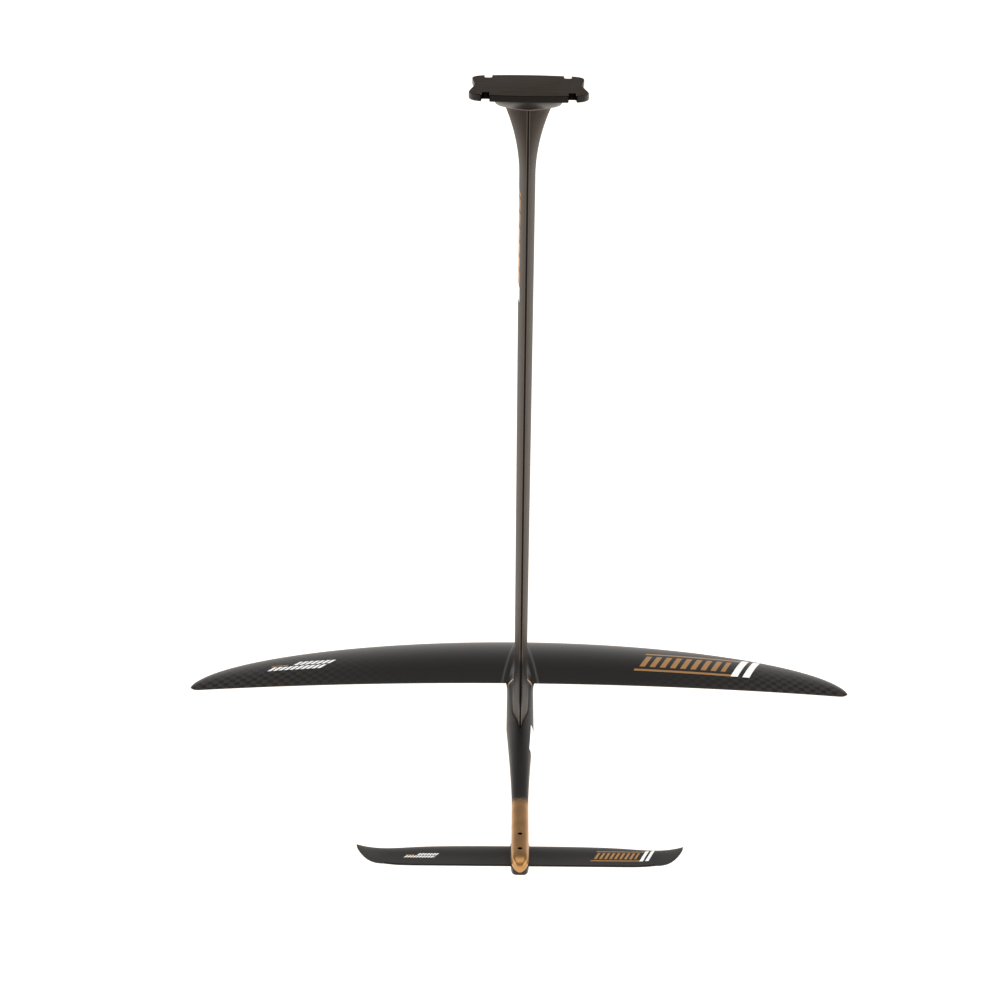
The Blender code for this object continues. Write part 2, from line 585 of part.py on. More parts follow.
def hub_half_height(y):
    """Half the hub's height at y."""
    share = np.clip((y - HUB_Y) / (HUB_END_Y - HUB_Y), 0.0, 1.0)
    return FUSE_RADIUS + (HUB_FRONT_HALF_HEIGHT - FUSE_RADIUS) * share ** HUB_HEIGHT_POWER


def section_half(share, thickness):
    """Half the thickness of a wing's section, from 0 at the trailing edge to 1 at the leading edge."""
    return thickness / 2 * share ** SECTION_POWER * np.sqrt(1.0 - share) / SECTION_PEAK


def front_wing_edges(span):
    """The trailing and leading edge's y at a place along the span, from 0 at the root to 1 at the tip."""
    trailing = WING_TE_Y + WING_TE_SWEEP * span ** 2
    leading = trailing + WING_CHORD * (1.0 - WING_TIP_CLOSING * span ** 2) ** WING_TIP_POWER
    past = np.maximum((span - WING_ROUND_FROM) / (1.0 - WING_ROUND_FROM), 0.0)
    rounding = WING_TIP_ROUND * past ** 3
    return trailing + rounding, leading + rounding / 2


def front_wing_heights(x, y):
    """The upper and lower surface at points on the plan: a cambered section and the hub, with fillets."""
    span = np.abs(x) / WING_HALF_SPAN
    trailing, leading = front_wing_edges(np.minimum(span, 1.0))
    chord = leading - trailing
    share = np.clip((y - trailing) / chord, 0.0, 1.0)
    middle = FUSE_AXIS + WING_RAISE - WING_ANHEDRAL * span ** 2
    middle = middle + WING_CAMBER * chord * 4.0 * share * (1.0 - share)
    half = section_half(share, WING_THICKNESS * chord) + WING_EDGE / 2 * (1.0 - share)
    width = hub_half_width(y)
    inside = np.clip(np.abs(x) / width, 0.0, 1.0)
    hub = hub_half_height(y) * np.sqrt(1.0 - inside ** 2)
    hub = hub - HUB_SIDE_SLOPE * np.maximum(np.abs(x) - width, 0.0)
    ahead = smooth_step((share - HUB_SUNK_FROM) / (1.0 - HUB_SUNK_FROM))
    fade = HUB_FILLET * (1.0 - ahead) + 0.01 * MM
    sunk = 2.0 * HUB_FILLET * ahead
    upper = smooth_max(middle + half, FUSE_AXIS + hub - sunk, fade)
    lower = -smooth_max(half - middle, hub - sunk - FUSE_AXIS, fade)
    return upper, lower


def front_wing_ring(station):
    """One loop around the wing. Stations from 0 to 1 lie across the hub, from 1 to 2 across its fillet, and
    from 2 to 3 out to the tip; the lines of the first two follow the hub's sides."""
    side = math.copysign(1.0, station)
    station = abs(station)
    edge = FUSE_RADIUS + HUB_SPREAD
    if station <= 1.0:
        nominal = FUSE_RADIUS * station
    elif station <= 2.0:
        nominal = FUSE_RADIUS + HUB_SPREAD * (station - 1.0)
    else:
        nominal = edge + (WING_HALF_SPAN - edge) * math.sin((station - 2.0) * math.pi / 2)
    trailing, leading = front_wing_edges(nominal / WING_HALF_SPAN)
    behind = 1.0 - smooth_step((nominal - FUSE_RADIUS) / HUB_CORNER)
    trailing = trailing + (HUB_Y - trailing) * behind
    share = (1.0 - np.cos(np.linspace(0.0, math.pi, CHORD_POINTS))) / 2
    y = trailing + share * (leading - trailing)
    width = hub_half_width(y)
    if station <= 1.0:
        x = width * station
    elif station <= 2.0:
        x = width + (edge - width) * (station - 1.0)
    else:
        x = np.full(len(y), nominal)
    upper, lower = front_wing_heights(x, y)
    x = x * side
    over = np.column_stack([x, y, upper])
    under = np.column_stack([x, y, lower])
    return np.concatenate([over, under[-2::-1]])


def hub_low(y):
    """The hub's lowest line at y."""
    return FUSE_AXIS - float(hub_half_height(y))


def make_front_wing():
    """The front wing with its hub: a loft from tip to tip, with a socket behind and screw holes below."""
    across = np.linspace(0.0, 1.0, HUB_LINES)
    fillet = 1.0 + np.linspace(0.0, 1.0, HUB_LINES)[1:]
    outer = 2.0 + np.linspace(0.0, 1.0, SPAN_STATIONS)[1:]
    half = np.concatenate([across, fillet, outer])
    stations = np.concatenate([-half[:0:-1], half])
    wing = part("front_wing", loft("front_wing", [front_wing_ring(s) for s in stations]), "wing_carbon")
    socket = loft("wing_socket", [spigot_ring(y, GAP) for y in (HUB_Y - RING_THICK, SPIGOT_END_Y + GAP)])
    combine(wing, cutter("wing_socket", socket))
    for number, y in enumerate(WING_SCREW_YS, 1):
        seat = hub_low(y) + WING_HEAD_SINK
        narrow = WING_SCREW_RADIUS + RUNNING
        wide = WING_HEAD_RADIUS + RUNNING
        low = FUSE_BOTTOM - POCKET_DEPTH
        steps = [(0.0, FUSE_AXIS), (narrow, FUSE_AXIS), (narrow, seat),
                 (wide, seat), (wide, low), (0.0, low)]
        bore(wing, "wing_bore_%d" % number, steps, y)


def rear_wing_ring(span):
    """One loop around the rear wing at a place from -1 at the left tip to 1 at the right."""
    out = abs(span)
    leading = REAR_LE_Y - REAR_SWEEP * out ** 2 - REAR_TIP_SWEEP * out ** REAR_TIP_SWEEP_POWER
    rake = float(smooth_step((out - REAR_RAKE_FROM) / REAR_RAKE_OVER))
    trailing = REAR_LE_Y - REAR_CHORD - REAR_TIP_RAKE * rake
    near_tip = min(max((out - REAR_CLOSING_FROM) / (1.0 - REAR_CLOSING_FROM), 0.0), 0.999)
    closing = math.sqrt(1.0 - near_tip ** REAR_CLOSING_POWER)
    chord = (leading - trailing) * closing
    share = (1.0 - np.cos(np.linspace(0.0, math.pi, CHORD_POINTS))) / 2
    half = section_half(share, REAR_THICKNESS * chord) + REAR_EDGE / 2 * (1.0 - share)
    rise = REAR_TIP_RISE * max((out - REAR_RISE_FROM) / (1.0 - REAR_RISE_FROM), 0.0) ** REAR_RISE_POWER
    middle = (PAD_TOP + PAD_BOTTOM) / 2 + REAR_RAISE + rise
    x = np.full(CHORD_POINTS, span * REAR_HALF_SPAN)
    y = leading - chord * (1.0 - share)
    over = np.column_stack([x, y, middle + half])
    under = np.column_stack([x, y, middle - half])
    return np.concatenate([over, under[-2::-1]])


def pad_outline(inset):
    """The rear wing's mounting pad from above, a rounded box a little narrower at its rear."""
    half_length = (PAD_FRONT_Y - PAD_REAR_Y) / 2
    outline = superellipse(PAD_HALF_WIDTH - inset, half_length - inset, PAD_CORNER, PAD_CORNER)
    outline[:, 0] *= 1.0 - PAD_NARROWING * (1.0 - outline[:, 1] / half_length)
    return outline + [0.0, (PAD_FRONT_Y + PAD_REAR_Y) / 2]


def make_rear_wing():
    """The rear wing: a thin section with upturned tips, joined to a pad that screws up into the tail."""
    half = np.array([0.0, 0.25, 0.5, 0.65, 0.75, 0.82, 0.88, 0.93, 0.965, 0.987, 0.996, 1.0])
    spans = np.concatenate([-half[:0:-1], half])
    wing = part("rear_wing", loft("rear_wing", [rear_wing_ring(s) for s in spans]), "wing_carbon")
    whole = pad_outline(0.0)
    rings = [level_ring(pad_outline(PAD_EDGE), PAD_BOTTOM), level_ring(whole, PAD_BOTTOM + PAD_EDGE),
             level_ring(whole, PAD_TOP)]
    combine(wing, cutter("rear_pad", loft("rear_pad", rings)), "UNION")
    shim = prism("rear_wing_shim", pad_outline(SHIM_INSET), SHIM_TOP - SHIM_HEIGHT, SHIM_TOP)
    shim = part("rear_wing_shim", shim, "shim_black")
    seat = PAD_BOTTOM + REAR_HEAD_SINK
    low = PAD_BOTTOM - PAD_HEIGHT
    for place, y in REAR_SCREW_YS.items():
        narrow = REAR_SCREW_RADIUS + RUNNING
        wide = REAR_HEAD_RADIUS + RUNNING
        steps = [(0.0, TAIL_TOP), (narrow, TAIL_TOP), (narrow, seat), (wide, seat), (wide, low), (0.0, low)]
        bore(wing, "pad_bore_" + place, steps, y)
        bore(shim, "shim_bore_" + place, rod_profile(narrow, low, TAIL_TOP), y)


def ring_piece(name, y, thickness, radius, finish):
    """A round ring lying across the joint between the fuselage and the hub."""
    piece = spin(part(name, turned(name, tube_profile(radius, RING_BORE, 0.0, thickness)), finish))
    piece.location = (0.0, y, FUSE_AXIS)
    piece.rotation_euler = (-math.pi / 2, 0.0, 0.0)


def screw(name, y, seat, tip, radius, head_radius, head_height):
    """A socket-head screw standing on its head, with the head's top face against its seat."""
    top = seat - GAP
    low = top - head_height
    profile = [(0.0, tip), (radius * (1.0 - TIP_CHAMFER), tip), (radius, tip - radius * TIP_CHAMFER),
               (radius, top), (head_radius, top), (head_radius, low + HEAD_CHAMFER),
               (head_radius - HEAD_CHAMFER, low), (0.0, low)]
    piece = spin(part(name, turned(name, profile), "screw_steel"))
    piece.location = (0.0, y, 0.0)
    angle = np.arange(6) * math.pi / 3
    corner = head_radius * HEX_SHARE
    hexagon = np.column_stack([corner * np.cos(angle), corner * np.sin(angle)])
    hollow = prism(name + "_hex", hexagon, low - head_height, low + head_height * HEX_DEPTH_SHARE)
    tool = cutter(name + "_hex", hollow)
    tool.location = piece.location
    combine(piece, tool)


def insert(name, y, low, length, outer, inner):
    """A threaded insert, drawn as a plain tube."""
    piece = spin(part(name, turned(name, tube_profile(outer, inner, low, low + length)), "insert_brass"))
    piece.location = (0.0, y, 0.0)


def make_joint_rings():
    """The rubber seal against the fuselage's shoulder and the gold ring behind the hub."""
    ring_piece("joint_seal", SEAL_Y, SEAL_THICK, FUSE_RADIUS - 0.3 * MM, "seal_grey")
    ring_piece("wing_trim_ring", RING_Y, RING_THICK, FUSE_RADIUS, "gold_ring")


def make_fasteners():
    """The screws, their inserts and the mast screws' washers."""
    seat = FUSE_BOTTOM + MAST_SEAT_UP
    for place, y in MAST_SCREW_YS.items():
        washer = tube_profile(WASHER_RADIUS, MAST_SCREW_RADIUS + RUNNING,
                              seat - GAP - WASHER_THICK, seat - GAP)
        name = "mast_washer_" + place
        spin(part(name, turned(name, washer), "screw_steel")).location = (0.0, y, 0.0)
        tip = FOOT_BOTTOM + MAST_INSERT_LENGTH * MAST_SCREW_REACH
        screw("mast_screw_" + place, y, seat - GAP - WASHER_THICK, tip, MAST_SCREW_RADIUS,
              MAST_HEAD_RADIUS, MAST_HEAD_HEIGHT)
        insert("mast_insert_" + place, y, FOOT_BOTTOM, MAST_INSERT_LENGTH,
               MAST_INSERT_RADIUS, MAST_SCREW_RADIUS + RUNNING)
    for number, y in enumerate(WING_SCREW_YS, 1):
        low = FUSE_AXIS - spigot_half_height(y) + GAP
        tip = low + WING_INSERT_LENGTH * WING_SCREW_REACH
        screw("front_wing_screw_%d" % number, y, hub_low(y) + WING_HEAD_SINK, tip,
              WING_SCREW_RADIUS, WING_HEAD_RADIUS, WING_HEAD_HEIGHT)
        insert("front_wing_insert_%d" % number, y, low, WING_INSERT_LENGTH,
               WING_INSERT_RADIUS, WING_SCREW_RADIUS + RUNNING)
    for place, y in REAR_SCREW_YS.items():
        screw("rear_wing_screw_" + place, y, PAD_BOTTOM + REAR_HEAD_SINK, TAIL_BOTTOM + REAR_INSERT_LENGTH,
              REAR_SCREW_RADIUS, REAR_HEAD_RADIUS, REAR_HEAD_HEIGHT)
        insert("rear_wing_insert_" + place, y, TAIL_BOTTOM + GAP, REAR_INSERT_LENGTH,
               REAR_INSERT_RADIUS, REAR_SCREW_RADIUS + RUNNING)


for leftover in list(bpy.data.objects):
    bpy.data.objects.remove(leftover, do_unlink=True)
PARTS = collection("hydrofoil")
CUTTERS = collection("cutters")
make_plate()
make_mast()
make_fuselage()
make_front_wing()
make_rear_wing()
make_joint_rings()
make_fasteners()
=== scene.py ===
# %% [markdown]
# # A hydrofoil, finished
#
# A hydrofoil is a wing that flies under water and lifts a board above it. This one is a plate that bolts
# under the board, a long carbon mast, a fuselage, a big front wing and a small rear wing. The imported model
# is loaded first and stays where it is. Every piece below takes its place from it, and lies in its frame:
# metres, +Z up, +Y the direction of travel, the origin on top of the plate.

import math

import bmesh
import bpy
import numpy as np
from mathutils import Matrix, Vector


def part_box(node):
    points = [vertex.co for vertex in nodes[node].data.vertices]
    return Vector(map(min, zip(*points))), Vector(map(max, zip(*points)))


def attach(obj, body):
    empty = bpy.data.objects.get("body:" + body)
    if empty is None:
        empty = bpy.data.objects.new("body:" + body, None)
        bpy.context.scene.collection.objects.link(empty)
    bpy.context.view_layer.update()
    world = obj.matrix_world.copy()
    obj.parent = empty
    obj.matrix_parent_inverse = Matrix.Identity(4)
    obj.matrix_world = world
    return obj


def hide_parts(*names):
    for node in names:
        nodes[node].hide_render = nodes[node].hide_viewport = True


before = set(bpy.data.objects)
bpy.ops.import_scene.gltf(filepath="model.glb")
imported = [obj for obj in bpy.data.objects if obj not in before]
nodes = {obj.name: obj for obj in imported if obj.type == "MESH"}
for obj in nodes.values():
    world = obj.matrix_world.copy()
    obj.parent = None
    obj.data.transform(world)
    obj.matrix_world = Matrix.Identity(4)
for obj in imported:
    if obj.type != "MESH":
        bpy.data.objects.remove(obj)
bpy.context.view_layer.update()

# %% [markdown]
# ## Where things are
#
# A good habit is to measure what exists before adding to it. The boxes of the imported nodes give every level
# that the new surfaces need: the top of the fuselage, its axis, the shoulder behind the front wing, the pad
# under the tail. Sizes that a box can't show, such as how a flare curves, are named once, in metres, where
# they are first used. GAP is left between pieces that touch, RUNNING is left around a screw, and a cutter
# reaches PAST the face that it goes through.

# %% Measure the model
MM = 0.001


def span_of(node, axis):
    """The lowest and highest place of a node along an axis, 0, 1 or 2."""
    low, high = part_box(node)
    return low[axis], high[axis]


def middle_of(node):
    """The y of a node's middle."""
    low, high = span_of(node, 1)
    return (low + high) / 2


GAP = 0.3 * MM
RUNNING = 0.3 * MM
PAST = 5.0 * MM
RING_LOW, RING_HIGH = span_of("wing_trim_ring", 2)
FUSE_AXIS = (RING_LOW + RING_HIGH) / 2
FUSE_RADIUS = (RING_HIGH - RING_LOW) / 2
FUSE_TOP = FUSE_AXIS + FUSE_RADIUS
FUSE_BOTTOM = FUSE_AXIS - FUSE_RADIUS
TAIL_END_Y, SPIGOT_END_Y = span_of("fuselage", 1)
HUB_Y = span_of("wing_trim_ring", 1)[1] + GAP
SHOULDER_Y = span_of("joint_seal", 1)[0] - GAP
PLATE_HALF_LENGTH = span_of("mast_plate", 1)[1]
PLATE_EAR_HALF = span_of("mast_plate", 0)[1]
BOSS_LOW = span_of("mast_plate", 2)[0]
FOOT_BOTTOM, TENON_TOP = span_of("mast_blade", 2)
WING_HALF_SPAN = span_of("front_wing", 0)[1]
REAR_HALF_SPAN = span_of("rear_wing", 0)[1]
SHIM_LOW, SHIM_TOP = span_of("rear_wing_shim", 2)
TAIL_BOTTOM = SHIM_TOP + GAP
PAD_TOP = SHIM_LOW - GAP
HEAD_TOP = BOSS_LOW - GAP
print("fuselage axis at", round(FUSE_AXIS, 4), "and mast head at", round(HEAD_TOP, 4))

# %% [markdown]
# ## The camera
#
# The camera stands behind the foil and a little above its plate, and looks down along the mast, so that the
# mast shows its trailing edge and both wings show their tops. A long lens keeps the tall mast from leaning.
# Its three axes are worked out from a yaw, a pitch and a roll, and go into its matrix as columns.

# %% Camera
EYE = np.array([-11.1, -2036.3, 201.2]) * MM
YAW, PITCH, ROLL = math.radians(0.87), math.radians(18.31), math.radians(0.955)
forward = np.array([math.sin(YAW) * math.cos(PITCH), math.cos(YAW) * math.cos(PITCH), -math.sin(PITCH)])
level = np.array([math.cos(YAW), -math.sin(YAW), 0.0])
upward = np.cross(level, forward)
right = level * math.cos(ROLL) + upward * math.sin(ROLL)
top = upward * math.cos(ROLL) - level * math.sin(ROLL)
lens = bpy.data.cameras.new("studio_camera")
lens.lens = 66.44
lens.sensor_width = 36.0
lens.shift_x = -0.040
lens.clip_end = 200.0
camera = bpy.data.objects.new("studio_camera", lens)
camera.matrix_world = Matrix([[right[i], top[i], -forward[i], EYE[i]] for i in range(3)] + [[0, 0, 0, 1]])
bpy.context.scene.collection.objects.link(camera)
bpy.context.scene.camera = camera
print("camera", [round(float(v), 3) for v in EYE], "m, lens", lens.lens, "mm")

# %% [markdown]
# ## The studio
#
# Black satin has no colour of its own to show: it shows the room. So the room is bright at its horizon, dim
# half way up and bright overhead: a surface that looks at the horizon gleams, and one that looks half way up
# goes deep black. The camera itself sees only an even white. A soft lamp above and a strip on each side add
# the long sheens. The floor is plain and pale and lies well below, because the foil hangs from its plate.

# %% Floor, room and lamps
FLOOR_Z = -3.4
FLOOR_HALF = 120.0
scene = bpy.context.scene
scene.view_settings.view_transform = "Standard"

floor_mesh = bpy.data.meshes.new("floor")
corners = FLOOR_HALF * np.array([[-1, -1], [1, -1], [1, 1], [-1, 1]])
floor_mesh.from_pydata([(x, y, FLOOR_Z) for x, y in corners.tolist()], [], [(0, 1, 2, 3)])
floor = bpy.data.objects.new("floor", floor_mesh)
scene.collection.objects.link(floor)
pale = bpy.data.materials.new("pale_floor")
pale.use_nodes = True
pale_sockets = pale.node_tree.nodes["Principled BSDF"].inputs
pale_sockets["Base Color"].default_value = (0.80, 0.80, 0.80, 1.0)
pale_sockets["Roughness"].default_value = 0.9
pale_sockets["Emission Color"].default_value = (1.0, 0.91, 0.82, 1.0)
pale_sockets["Emission Strength"].default_value = 1.05
floor_mesh.materials.append(pale)

# Each stop of the room's ramp: how far up it is, as the sine of the angle plus 1, halved, and its grey.
ROOM_STOPS = ((0.0, 1.10), (0.57, 1.15), (0.66, 0.78), (0.77, 0.03), (0.84, 0.03), (0.93, 0.50))
room = bpy.data.worlds.new("white_room")
room.use_nodes = True
tree = room.node_tree
background = tree.nodes["Background"]
way = tree.nodes.new("ShaderNodeTexCoord")
split = tree.nodes.new("ShaderNodeSeparateXYZ")
tree.links.new(way.outputs["Generated"], split.inputs[0])
share = tree.nodes.new("ShaderNodeMapRange")
share.inputs["From Min"].default_value = -1.0
tree.links.new(split.outputs[2], share.inputs["Value"])
ramp = tree.nodes.new("ShaderNodeValToRGB")
tree.links.new(share.outputs[0], ramp.inputs[0])
while len(ramp.color_ramp.elements) < len(ROOM_STOPS):
    ramp.color_ramp.elements.new(0.5)
for element, (position, grey) in zip(ramp.color_ramp.elements, ROOM_STOPS):
    element.position = position
    element.color = (grey, grey * 0.985, grey * 0.965, 1.0)
rays = tree.nodes.new("ShaderNodeLightPath")
seen = tree.nodes.new("ShaderNodeMix")
seen.data_type = "RGBA"
seen.inputs[7].default_value = (1.05, 1.05, 1.05, 1.0)
tree.links.new(rays.outputs["Is Camera Ray"], seen.inputs[0])
tree.links.new(ramp.outputs[0], seen.inputs[6])
tree.links.new(seen.outputs[2], background.inputs["Color"])
scene.world = room


def lamp(name, place, aim, size, watts):
    """A rectangular soft lamp at a place, turned to face a point."""
    light = bpy.data.lights.new(name, "AREA")
    light.shape = "RECTANGLE"
    light.size, light.size_y = size
    light.energy = watts
    holder = bpy.data.objects.new(name, light)
    away = np.array(place) - np.array(aim)
    away = away / np.linalg.norm(away)
    side = np.cross([0.0, 1.0, 0.0], away)
    side = side / np.linalg.norm(side)
    over = np.cross(away, side)
    holder.matrix_world = Matrix([[side[i], over[i], away[i], place[i]] for i in range(3)] + [[0, 0, 0, 1]])
    scene.collection.objects.link(holder)
    return holder


lamp("overhead", (0.0, -0.3, 1.9), (0.0, 0.0, -0.5), (2.4, 2.4), 20.0)
lamp("left_strip", (-2.2, -0.6, 0.1), (0.0, 0.0, -0.6), (0.8, 2.4), 14.0)
lamp("right_strip", (2.2, -0.9, 0.1), (0.0, -0.1, -0.6), (0.8, 2.4), 18.0)

# %% [markdown]
# ## From numbers to a mesh
#
# Every new piece is a grid of points: rows along the piece, columns around it. A function of two parameters
# fills the whole grid at once, and one helper turns any grid into a closed mesh. It measures the volume the
# faces enclose, because a negative volume means that they point inwards and have to be turned round.

# %% Grid to mesh


def enclosed(points, faces):
    """The volume inside: the sum over the faces, cut into fans, of a . (b x c) / 6."""
    total = 0.0
    for size in (3, 4):
        group = np.array([face for face in faces if len(face) == size], int).reshape(-1, size)
        for corner in range(1, size - 1):
            a, b, c = (points[group[:, i]] for i in (0, corner, corner + 1))
            total += float(np.sum(a * np.cross(b, c))) / 6.0
    return total


def surface(name, grid):
    """A closed mesh from a grid of points whose last column meets its first, with a face over each end."""
    rows, columns = grid.shape[:2]
    index = np.arange(rows * columns).reshape(rows, columns)
    beside = np.roll(index, -1, axis=1)
    quads = np.stack([index[:-1], beside[:-1], beside[1:], index[1:]], axis=-1).reshape(-1, 4)
    points = grid.reshape(-1, 3)
    faces = quads.tolist()
    hubs = np.array([grid[0].mean(axis=0), grid[-1].mean(axis=0)])
    fans = []
    for hub, (ring, after) in enumerate(((beside[0], index[0]), (index[-1], beside[-1]))):
        fans += np.column_stack([ring, after, np.full(columns, len(points) + hub)]).tolist()
    whole = np.concatenate([points, hubs])
    if enclosed(whole, faces + fans) < 0.0:
        faces = [face[::-1] for face in faces]
        ends = [index[0].tolist(), index[-1][::-1].tolist()]
    else:
        ends = [index[0][::-1].tolist(), index[-1].tolist()]
    mesh = bpy.data.meshes.new(name)
    mesh.from_pydata(points.tolist(), [], faces + ends)
    mesh.validate()
    return mesh


def ring_stack(outlines, heights):
    """A grid from outlines of x and y, shape (rows, columns, 2), each lifted to its height."""
    z = np.broadcast_to(np.asarray(heights, float)[:, None, None], outlines.shape[:2] + (1,))
    return np.concatenate([outlines, z], axis=2)


def turned(profile, place, axis="Z", steps=64):
    """A grid from a profile of (radius, height) carried round an axis through a place, columns around."""
    profile = np.array(profile, float)
    angle = np.arange(steps) * 2.0 * math.pi / steps
    radius, height = profile[:, :1], profile[:, 1:]
    first, second = radius * np.cos(angle), radius * np.sin(angle)
    third = np.broadcast_to(height, first.shape)
    order = (first, second, third) if axis == "Z" else (first, third, second)
    return np.stack(order, axis=2) + np.array(place)


def rounded(points, reach, steps=5):
    """A profile with each inner corner swapped for a small arc: a point slides along a quadratic curve from
    one side of the corner to the other, with the corner as its control."""
    points = np.array(points, float)
    line = [points[:1]]
    share = np.linspace(0.0, 1.0, steps)[:, None]
    for before, corner, after in zip(points[:-2], points[1:-1], points[2:]):
        ways = []
        for other in (before, after):
            length = max(float(np.linalg.norm(other - corner)), 1e-9)
            ways.append(corner + (other - corner) * min(reach / length, 0.45))
        line.append((1 - share) ** 2 * ways[0] + 2 * share * (1 - share) * corner + share ** 2 * ways[1])
    line.append(points[-1:])
    return np.concatenate(line)


print("helpers ready")

# %% [markdown]
# ## Cutting and placing
#
# Screw bores, sockets and pockets are cut with a Boolean modifier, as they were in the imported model. All the
# cutters of a piece are joined into one object first, so that one exact cut does the work of many. The
# result is applied, because the finished piece should carry its own final mesh.

# %% Boolean and piece helpers


def loose(name, *meshes):
    """One object holding copies of several meshes, not yet part of the foil."""
    work = bmesh.new()
    for mesh in meshes:
        work.from_mesh(mesh)
    joined = bpy.data.meshes.new(name)
    work.to_mesh(joined)
    work.free()
    thing = bpy.data.objects.new(name, joined)
    scene.collection.objects.link(thing)
    return thing


def carve(mesh, *cutters, operation="DIFFERENCE"):
    """A mesh with the cutters taken away from it, or joined on with UNION."""
    body = loose("body", mesh)
    tool = loose("tool", *cutters)
    step = body.modifiers.new("carve", "BOOLEAN")
    step.operation = operation
    step.object = tool
    step.solver = "EXACT"
    ready = body.evaluated_get(bpy.context.evaluated_depsgraph_get())
    made = bpy.data.meshes.new_from_object(ready)
    made.name = mesh.name
    for thing in (body, tool):
        bpy.data.objects.remove(thing, do_unlink=True)
    return made


def piece(name, mesh, finish, stands_for, crease=30.0):
    """A finished piece of the foil: shaded smooth but for its creases, riding on the one body."""
    thing = bpy.data.objects.new(name, mesh)
    scene.collection.objects.link(thing)
    mesh.materials.clear()
    mesh.materials.append(finish)
    mesh.shade_smooth()
    mesh.set_sharp_from_angle(angle=math.radians(crease))
    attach(thing, "root")
    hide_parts(*stands_for)
    size = sum(len(polygon.vertices) - 2 for polygon in mesh.polygons)
    print(name, "has", size, "triangles")
    return thing


# %% [markdown]
# ## Shader maths
#
# A material's pattern is arithmetic on coordinates. Written as nodes by hand it is long, so a small class
# wraps a socket and lets Python's own operators add the Math nodes. Anything that isn't arithmetic comes
# from one method that takes a node's type, its settings, and what goes into its sockets.

# %% Wire and Finish


class Wire:
    """An output socket that can be added, multiplied and compared; each sign adds a Math node."""

    def __init__(self, finish, socket):
        self.finish = finish
        self.socket = socket

    def sum(self, operation, *values):
        return self.finish.node("Math", {"operation": operation}, dict(enumerate(values)))

    def __add__(self, other):
        return self.sum("ADD", self, other)

    def __sub__(self, other):
        return self.sum("SUBTRACT", self, other)

    def __rsub__(self, other):
        return self.sum("SUBTRACT", other, self)

    def __mul__(self, other):
        return self.sum("MULTIPLY", self, other)

    def __truediv__(self, other):
        return self.sum("DIVIDE", self, other)

    def __gt__(self, other):
        return self.sum("GREATER_THAN", self, other)

    def __lt__(self, other):
        return self.sum("LESS_THAN", self, other)

    __radd__ = __add__
    __rmul__ = __mul__

    def of(self, operation):
        """A function of this one value, such as its sine or its absolute size."""
        return self.sum(operation, self)

    def power(self, power):
        """This value raised to a power."""
        return self.sum("POWER", self, power)

    def most(self, other):
        """The larger of the two."""
        return self.sum("MAXIMUM", self, other)

    def within(self, low, high):
        """1 between two values and 0 outside them."""
        return (self > low) * (self < high)

    def ease(self, low, high):
        """0 below low, 1 above high, and a smooth step between them."""
        ramp = {"Value": self, "From Min": low, "From Max": high}
        return self.finish.node("MapRange", {"interpolation_type": "SMOOTHSTEP"}, ramp)


class Finish:
    """A Principled material being built. Its constants are set at once, and its patterns are linked later."""

    def __init__(self, name, constants):
        self.material = bpy.data.materials.new(name)
        self.material.use_nodes = True
        self.tree = self.material.node_tree
        self.shader = self.tree.nodes["Principled BSDF"]
        for socket, value in constants.items():
            self.shader.inputs[socket].default_value = value
        self.place = self.node("TexCoord", {}, {}, "Object")

    def node(self, kind, settings, sockets, output=0):
        """Any node: its settings first, then its sockets' values or links, and one output as a Wire."""
        node = self.tree.nodes.new("ShaderNode" + kind)
        for name, value in settings.items():
            setattr(node, name, value)
        for name, value in sockets.items():
            self.feed(node.inputs[name], value)
        return Wire(self, node.outputs[output])

    def feed(self, socket, value):
        if isinstance(value, Wire):
            self.tree.links.new(value.socket, socket)
        elif hasattr(value, "__len__") and socket.type == "RGBA":
            socket.default_value = (*value, 1.0)
        else:
            socket.default_value = value

    def axes(self):
        """The object's own x, y and z, as three numbers."""
        return [self.node("SeparateXYZ", {}, {0: self.place}, i) for i in range(3)]

    def stretched(self, scale):
        """The object's coordinates, multiplied along each axis."""
        return self.node("VectorMath", {"operation": "MULTIPLY"}, {0: self.place, 1: scale})

    def noise(self, scale, detail=3.0, roughness=0.5):
        """Soft noise from 0 to 1, so many lumps to the metre along each axis."""
        inputs = {"Vector": self.stretched(scale), "Scale": 1.0, "Detail": detail, "Roughness": roughness}
        return self.node("TexNoise", {}, inputs)

    def blend(self, factor, first, second):
        """The first colour where the factor is 0, the second where it is 1."""
        return self.node("Mix", {"data_type": "RGBA"}, {0: factor, 6: first, 7: second}, 2)

    def wear(self, colour=None, roughness=None, metallic=None, height=None, lift=0.0, extra=None):
        """Link the patterns to the shader: colours, roughness, and a height that becomes a bump."""
        links = {"Base Color": colour, "Roughness": roughness, "Metallic": metallic}
        links.update(extra or {})
        if height is not None:
            links["Normal"] = self.node("Bump", {}, {"Strength": 1.0, "Distance": lift, "Height": height})
        for name, value in links.items():
            if value is not None:
                self.feed(self.shader.inputs[name], value)
        return self.material


GOLD_PRINT = (0.55, 0.285, 0.10)
WHITE_PRINT = (0.90, 0.90, 0.88)
# A faint glow for white ink: painted light that keeps it white in the dark part of the room.
INK_GLOW = {"Emission Strength": 0.40}
print("shader helpers ready")

# %% [markdown]
# ## Moulded black: the plate
#
# The plate is moulded from a filled black composite. Its top is left matt and a little brown, with faint
# streaks where the filling flowed. Its sides and its underside are a little smoother and are painted blacker,
# as painted shade on the faces turned away from the top. The rounded top rim and the slots get the blackest
# colour: a painted shade line on the rim and painted shade inside the slots. The colour follows the way a
# face turns: the normal's z is near 1 on the top and near 0 on the sides, so it works as a mask. The slots
# are masked by their place instead.

# %% Plate finish
SLOT_PLACE = (45.0 * MM, 82.5 * MM)
SLOT_HALF_WIDTH = 4.25 * MM
SLOT_SURROUND = 1.0 * MM


